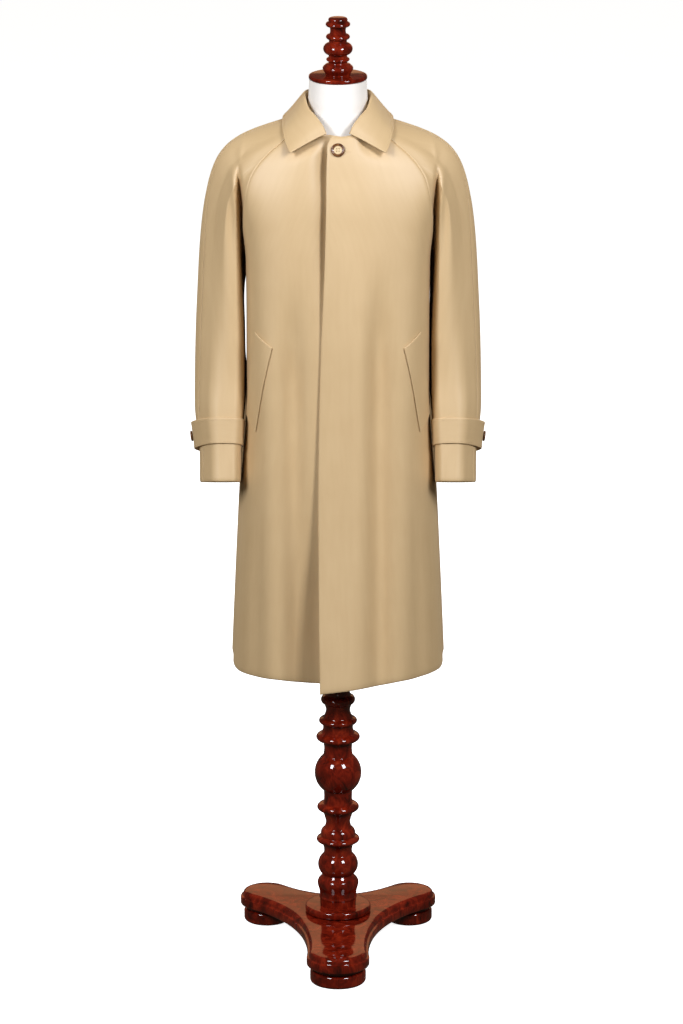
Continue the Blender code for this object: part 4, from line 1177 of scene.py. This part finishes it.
post = {
    "core": table("z r", [
        (0.0747, 0.0340), (0.1000, 0.0350), (0.1245, 0.0366), (0.1300, 0.0320), (0.1345, 0.0290),
        (0.1536, 0.0300), (0.1700, 0.0280), (0.1826, 0.0264), (0.1960, 0.0290), (0.2149, 0.0318),
        (0.2250, 0.0270), (0.2364, 0.0230), (0.2520, 0.0262), (0.2659, 0.0300), (0.2800, 0.0268),
        (0.2862, 0.0264), (0.2950, 0.0266), (0.3362, 0.0300), (0.3720, 0.0274), (0.3834, 0.0262),
        (0.3950, 0.0276), (0.4067, 0.0320), (0.4255, 0.0280), (0.4387, 0.0300), (0.4480, 0.0262),
        (0.4590, 0.0228), (0.4720, 0.0258), (0.4802, 0.0280), (0.4920, 0.0230), (0.5100, 0.0226),
        (0.8697, 0.0240)]),
    "beads": [
        {"z": 0.4802, "r": 0.0322, "half": 0.0085, "round": 0.0090},
        {"z": 0.4387, "r": 0.0358, "half": 0.0062, "round": 0.0090},
        {"z": 0.4067, "r": 0.0410, "half": 0.0078, "round": 0.0120},
        {"z": 0.3362, "r": 0.0440, "half": 0.0440, "round": 0.0440},
        {"z": 0.2680, "r": 0.0394, "half": 0.0078, "round": 0.0120},
        {"z": 0.2149, "r": 0.0328, "half": 0.0120, "round": 0.0080},
        {"z": 0.2041, "r": 0.0406, "half": 0.0064, "round": 0.0110},
        {"z": 0.1540, "r": 0.0378, "half": 0.0300, "round": 0.0370},
        {"z": 0.1215, "r": 0.0373, "half": 0.0050, "round": 0.0030},
        {"z": 0.0900, "r": 0.0356, "half": 0.0030, "round": 0.0016},
    ],
}
turning = {"sides": 72, "stepZ": 0.0007, "shaftZ": 0.51, "shaftRings": 12, "sharp": 48}


def turnedPiece(name, z, radius, centre=(0.0, 0.0)):
    turn = np.linspace(0, 2 * math.pi, turning["sides"], endpoint=False)
    shape = np.stack(np.broadcast_arrays(
        centre[0] + radius[:, None] * np.cos(turn)[None],
        centre[1] + radius[:, None] * np.sin(turn)[None], z[:, None]), axis=-1)
    ringPiece(name, shape, mahogany, turning["sharp"])


def beadedRadius(shape, z):
    radius = read(shape["core"], "r", z)
    for bead in shape["beads"]:
        off = (z - bead["z"]) / bead["half"]
        reach = bead["r"] - bead["round"] + bead["round"] * np.sqrt(np.maximum(1 - off ** 2, 0))
        radius = np.where(np.abs(off) < 1, np.maximum(radius, reach), radius)
    return radius


def makeTurned(name, shape):
    low = shape["core"]["z"][0]
    high = shape["core"]["z"][-1]
    z = np.linspace(low, high, int((high - low) / turning["stepZ"]))
    if name == "post":  # plain shaft above the hem needs few rings
        plain = np.linspace(turning["shaftZ"] + 0.002, high, turning["shaftRings"])
        z = np.concatenate([z[z <= turning["shaftZ"]], plain])
    turnedPiece(name, z, beadedRadius(shape, z))


def roundedRim(radius, low, high, soft):  # short disc with round corners
    turn = np.linspace(0, math.pi / 2, 8)
    z = np.concatenate([low + soft * (1 - np.cos(turn)), high - soft * (1 - np.sin(turn))])
    r = np.concatenate([radius - soft * (1 - np.sin(turn)), radius - soft * (1 - np.cos(turn))])
    return z, r


# arms of the tripod, each with its foot: place, radius of the arm's round end, radius of the foot
arms = [
    {"foot": "foot_front", "x": 0.0, "y": -0.219, "endR": 0.0585, "footR": 0.0520},
    {"foot": "foot_left", "x": 0.1357, "y": 0.118, "endR": 0.0500, "footR": 0.0435},
    {"foot": "foot_right", "x": -0.1357, "y": 0.118, "endR": 0.0500, "footR": 0.0435},
]
base = {
    "armEndTurn": 98.0,
    "pinch": 0.052,
    "sharp": 40,
    "footH": 0.032,
    "footSoft": 0.006,
    "ringLow": 0.0603,
    "ringTop": 0.0744,
    "ringR": 0.0620,
    "ringSoft": 0.0045,
    "capR": 0.0535,
    "capLow": 1.6700,
    "capHigh": 1.6776,
    "capSoft": 0.0026,
}

# edge of the tripod: height, and how far it lies inside the outline
tripodEdge = [
    (0.0323, 0.0030), (0.0335, 0.0008), (0.0350, 0.0000), (0.0470, 0.0000), (0.0484, 0.0006),
    (0.0492, 0.0022), (0.0496, 0.0040), (0.0504, 0.0046), (0.0530, 0.0048), (0.0562, 0.0056),
    (0.0584, 0.0074), (0.0596, 0.0100), (0.0600, 0.0130),
]


def armWay(arm):
    return math.atan2(arm["y"], arm["x"])


def tripodOutline():
    outline = []
    reach = math.radians(base["armEndTurn"])
    for k, arm in enumerate(arms):
        way = armWay(arm)
        turn = way + np.linspace(-reach, reach, 40)
        rim = np.stack([np.cos(turn), np.sin(turn)], axis=-1) * arm["endR"]
        outline.extend(np.array([arm["x"], arm["y"]]) + rim)
        after = arms[(k + 1) % 3]
        afterWay = way + (armWay(after) - way) % (2 * math.pi)
        middle = (way + afterWay) / 2
        pinch = np.array([math.cos(middle), math.sin(middle)]) * base["pinch"]
        end = np.array([after["x"], after["y"]])
        end = end + np.array([math.cos(afterWay - reach), math.sin(afterWay - reach)]) * after["endR"]
        start = outline[-1]
        for t in np.linspace(0, 1, 40)[1:-1]:
            outline.append(start * (1 - t) ** 2 + 2 * pinch * t * (1 - t) + end * t * t)
    return np.array(outline)


def makeBase():
    outline = tripodOutline()
    along = unit(np.roll(outline, -1, axis=0) - np.roll(outline, 1, axis=0))
    inward = np.stack([-along[:, 1], along[:, 0]], axis=-1)
    edge = outline.shape[0]
    rows = [np.column_stack([outline + inward * off, np.full(edge, z)]) for z, off in tripodEdge]
    ringPiece("base_tripod", np.array(rows), mahogany, base["sharp"])
    for arm in arms:
        z, r = roundedRim(arm["footR"], 0.0, base["footH"] * 0.78, base["footSoft"])
        z = np.append(z, [base["footH"] * 0.80, base["footH"]])
        r = np.append(r, [arm["footR"] * 0.90, arm["footR"] * 0.89])
        turnedPiece(arm["foot"], z, r, (arm["x"], arm["y"]))
    ring = roundedRim(base["ringR"], base["ringLow"], base["ringTop"], base["ringSoft"])
    turnedPiece("base_ring", *ring)
    turnedPiece("neck_cap", *roundedRim(base["capR"], base["capLow"], base["capHigh"], base["capSoft"]))


makeTorso()
makeTurned("finial", finial)
makeTurned("post", post)
makeBase()
print("form and stand made")


# topstitching along paths on the cloth

stitch = {"pitch": 0.0036, "length": 0.0027, "radius": 0.00032, "lift": 0.00025, "overarmIn": 0.006}
buttonhole = {
    "start": 0.012,
    "end": 0.022,
    "z": 1.5575,
    "half": 0.0009,
    "lap": 0.4,
    "pitch": 0.0011,
    "length": 0.0013,
}


def stitchTree():
    tree = bpy.data.node_groups.new("topstitch", "GeometryNodeTree")
    face = tree.interface
    face.new_socket("Geometry", in_out="INPUT", socket_type="NodeSocketGeometry")
    for label in ("Pitch", "Stitch length", "Thread radius"):
        face.new_socket(label, in_out="INPUT", socket_type="NodeSocketFloat")
    face.new_socket("Thread", in_out="INPUT", socket_type="NodeSocketMaterial")
    face.new_socket("Geometry", in_out="OUTPUT", socket_type="NodeSocketGeometry")
    given = addNode(tree, "NodeGroupInput")
    halved = addNode(tree, "ShaderNodeMath", {
        0: given.outputs["Stitch length"], 1: 0.5}, operation="MULTIPLY")
    radius = given.outputs["Thread radius"]
    size = addNode(tree, "ShaderNodeCombineXYZ", {"X": radius, "Y": radius, "Z": halved.outputs[0]})
    bead = addNode(tree, "GeometryNodeMeshUVSphere", {"Segments": 6, "Rings": 4, "Radius": 1.0})
    grain = addNode(tree, "GeometryNodeTransform", {
        "Geometry": bead.outputs["Mesh"], "Scale": size.outputs[0]})
    path = addNode(tree, "GeometryNodeMeshToCurve", {"Mesh": given.outputs["Geometry"]})
    spots = addNode(tree, "GeometryNodeCurveToPoints", {
        "Curve": path.outputs["Curve"], "Length": given.outputs["Pitch"]}, mode="LENGTH")
    turn = addNode(tree, "FunctionNodeAlignRotationToVector", {
        "Vector": spots.outputs["Tangent"]}, axis="Z")
    sewn = addNode(tree, "GeometryNodeInstanceOnPoints", {
        "Points": spots.outputs["Points"], "Instance": grain.outputs["Geometry"],
        "Rotation": turn.outputs[0]})
    real = addNode(tree, "GeometryNodeRealizeInstances", {"Geometry": sewn.outputs["Instances"]})
    coloured = addNode(tree, "GeometryNodeSetMaterial", {
        "Geometry": real.outputs["Geometry"], "Material": given.outputs["Thread"]})
    addNode(tree, "NodeGroupOutput", {"Geometry": coloured.outputs["Geometry"]})
    return tree


def sewPaths(name, tree, paths, size=stitch):
    points = []
    edges = []
    for path in paths:
        first = len(points)
        points.extend((path + axisPlace).tolist())
        edges.extend((k, k + 1) for k in range(first, len(points) - 1))
    mesh = bpy.data.meshes.new(name + "Path")
    mesh.from_pydata(points, edges, [])
    rail = addObject(name + "Path", mesh)
    sewing = rail.modifiers.new("topstitch", "NODES")
    sewing.node_group = tree
    given = {
        "Pitch": size["pitch"], "Stitch length": size["length"],
        "Thread radius": stitch["radius"], "Thread": thread}
    for item in tree.interface.items_tree:
        if item.in_out == "INPUT" and item.name in given:
            sewing[item.identifier] = given[item.name]
    graph = bpy.context.evaluated_depsgraph_get()
    graph.update()
    sewn = bpy.data.meshes.new_from_object(rail.evaluated_get(graph))
    rail.modifiers.remove(sewing)
    bpy.data.objects.remove(rail)
    sewn.name = name
    sewn.shade_smooth()
    piece = addObject(name, sewn)
    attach(piece, "root")


def inset(grid, normals, column, away):  # a line along the grid at a distance from one of its columns
    across = runs(grid, 1)
    if column < 0:
        across = across[:, -1:] - across
    path = []
    for row in range(grid.shape[0]):
        order = np.argsort(across[row])
        spot = [np.interp(away, across[row][order], grid[row][order][:, k]) for k in range(3)]
        lift = [np.interp(away, across[row][order], normals[row][order][:, k]) for k in range(3)]
        path.append(np.array(spot) + np.array(lift) * stitch["lift"])
    return np.array(path)


def insetAcross(grid, normals, column, away):
    return inset(np.swapaxes(grid, 0, 1), np.swapaxes(normals, 0, 1), column, away)


def makeStitches():
    tree = stitchTree()
    away = collar["stitchIn"]
    paths = [inset(collarGrid, collarNormals, -1, away)[12:-12]]
    paths += [insetAcross(collarGrid, collarNormals, column, away)[8:-12] for column in (0, -1)]
    sewPaths("collar_stitches", tree, paths)
    away = strap["stitchIn"]
    sewPaths("strap_stitches", tree, [
        inset(grid, normals, column, away)[4:-8] for grid, normals in strapGrids for column in (0, -1)])
    away = welt["stitchIn"]
    sewPaths("welt_stitches", tree, [
        insetAcross(grid, normals, column, away)[5:-5] for grid, normals in weltGrids for column in (0, -1)])
    paths = []
    for side, hand in ((1, "left"), (-1, "right")):
        grid = sleeveGrids[f"sleeve_{hand}_front"]
        normals = gridNormals(grid, np.array([sleeve["middleX"] * side, 0.0, 1.3]))
        paths.append(inset(grid, normals, -1, stitch["overarmIn"])[30:-8])
    sewPaths("overarm_stitches", tree, paths)
    hole = np.linspace(buttonhole["start"], buttonhole["end"], 12)
    rows = []
    for side, x in ((1, hole), (-1, hole[::-1])):
        z = np.full_like(x, buttonhole["z"] + side * buttonhole["half"])
        rows.append(bodyPoint(angleAt(x, z), z, coat["lapLift"] * buttonhole["lap"] + stitch["lift"]))
    sewPaths("buttonhole_stitches", tree, [np.concatenate(rows)], buttonhole)


makeStitches()
print("stitches made")


# studio

studio = {
    "aim": (0.0065, 0.0, 0.8457),
    "pitch": 16.5,
    "distance": 12.5,
    "lens": 236.43,
    "floor": 60.0,
    "floorGlow": 0.88,
    "sky": 0.08,
    "skyTint": "#FFEFD0",
}
# two high boxes make the sheen and the lamp marks on the wood, the panel behind is seen only
# in the polish, and the others lift the shade
lamps = [
    {"name": "keyRight", "at": (2.4, -3.1, 3.8), "size": (1.2, 1.6), "watts": 212, "glossy": True,
     "tint": "#F0F5FF"},
    {"name": "keyLeft", "at": (-2.5, -3.1, 3.6), "size": (1.2, 1.6), "watts": 188, "glossy": True,
     "tint": "#F0F5FF"},
    {"name": "panel", "at": (0.0, 5.0, 1.95), "size": (5.0, 1.4), "watts": 18, "glossy": True,
     "diffuse": False, "tint": "#FFB07A"},
    {"name": "wrapLeft", "at": (-4.0, 0.6, 1.8), "size": (2.0, 2.6), "watts": 11, "glossy": False},
    {"name": "wrapRight", "at": (4.0, 0.6, 1.8), "size": (2.0, 2.6), "watts": 11, "glossy": False},
    {"name": "backLeft", "at": (-2.4, 3.8, 2.4), "size": (1.4, 2.4), "watts": 70, "glossy": False},
    {"name": "backRight", "at": (2.4, 3.8, 2.4), "size": (1.4, 2.4), "watts": 70, "glossy": False},
]
lampAim = (0.0, 0.0, 1.05)
# a column of narrow spots that draws a brighter band down the overlap
band = {
    "x": 0.016,
    "y": -3.6,
    "low": 0.56,
    "high": 1.50,
    "count": 10,
    "reach": 0.085,
    "watts": 34,
    "soft": 0.04,
    "tint": "#F0F5FF",
}


def makeFloor():
    half = studio["floor"] / 2
    corners = [(-half, -half, 0), (half, -half, 0), (half, half, 0), (-half, half, 0)]
    mesh = bpy.data.meshes.new("floor")
    mesh.from_pydata(corners, [], [(0, 1, 2, 3)])
    floor = addObject("floor", mesh)
    material, tree, shader = newMaterial("paperSweep")
    plug(tree, shader, {
        "Base Color": toLinear("#F0F0F0"),
        "Roughness": 0.9,
        "Specular IOR Level": 0.1,
        "Emission Color": (1.0, 1.0, 1.0, 1.0),
        "Emission Strength": studio["floorGlow"],
    })
    mesh.materials.append(material)
    floor.visible_diffuse = False  # white to the eye without lighting the coat from below
    floor.visible_glossy = False


def makeLamps():
    for lamp in lamps:
        light = bpy.data.lights.new(lamp["name"], "AREA")
        light.shape = "RECTANGLE"
        light.size, light.size_y = lamp["size"]
        light.energy = lamp["watts"]
        light.color = toLinear(lamp.get("tint", "#FFFFFF"))[:3]
        holder = addObject(lamp["name"], light)
        holder.location = Vector(lamp["at"]) + Vector(axisPlace)
        way = Vector(lampAim) - Vector(lamp["at"])
        holder.rotation_euler = way.to_track_quat("-Z", "Y").to_euler()
        holder.visible_camera = False
        holder.visible_glossy = lamp["glossy"]
        holder.visible_diffuse = lamp.get("diffuse", True)
    for z in np.linspace(band["low"], band["high"], band["count"]):
        light = bpy.data.lights.new("bandSpot", "SPOT")
        light.energy = band["watts"]
        light.color = toLinear(band["tint"])[:3]
        light.spot_size = 2 * math.atan(band["reach"] / -band["y"])
        light.spot_blend = 1.0
        light.shadow_soft_size = band["soft"]
        holder = addObject("bandSpot", light)
        holder.location = Vector((band["x"], band["y"], float(z))) + Vector(axisPlace)
        holder.rotation_euler = (math.pi / 2, 0.0, 0.0)


def makeStudio():
    scene = bpy.context.scene
    scene.view_settings.view_transform = "Standard"
    makeFloor()
    world = bpy.data.worlds.new("studio")
    world.use_nodes = True
    plug(world.node_tree, world.node_tree.nodes["Background"], {
        "Color": toLinear(studio["skyTint"]), "Strength": studio["sky"]})
    scene.world = world
    makeLamps()
    camera = bpy.data.cameras.new("camera")
    camera.lens = studio["lens"]
    camera.sensor_width = 36.0
    camera.clip_end = 100.0
    eye = addObject("camera", camera)
    pitch = math.radians(studio["pitch"])
    back = Vector((0.0, -math.cos(pitch), math.sin(pitch))) * studio["distance"]
    eye.location = Vector(studio["aim"]) + Vector(axisPlace) + back
    eye.rotation_euler = (math.pi / 2 - pitch, 0.0, 0.0)
    scene.camera = eye


makeStudio()
print("studio made")
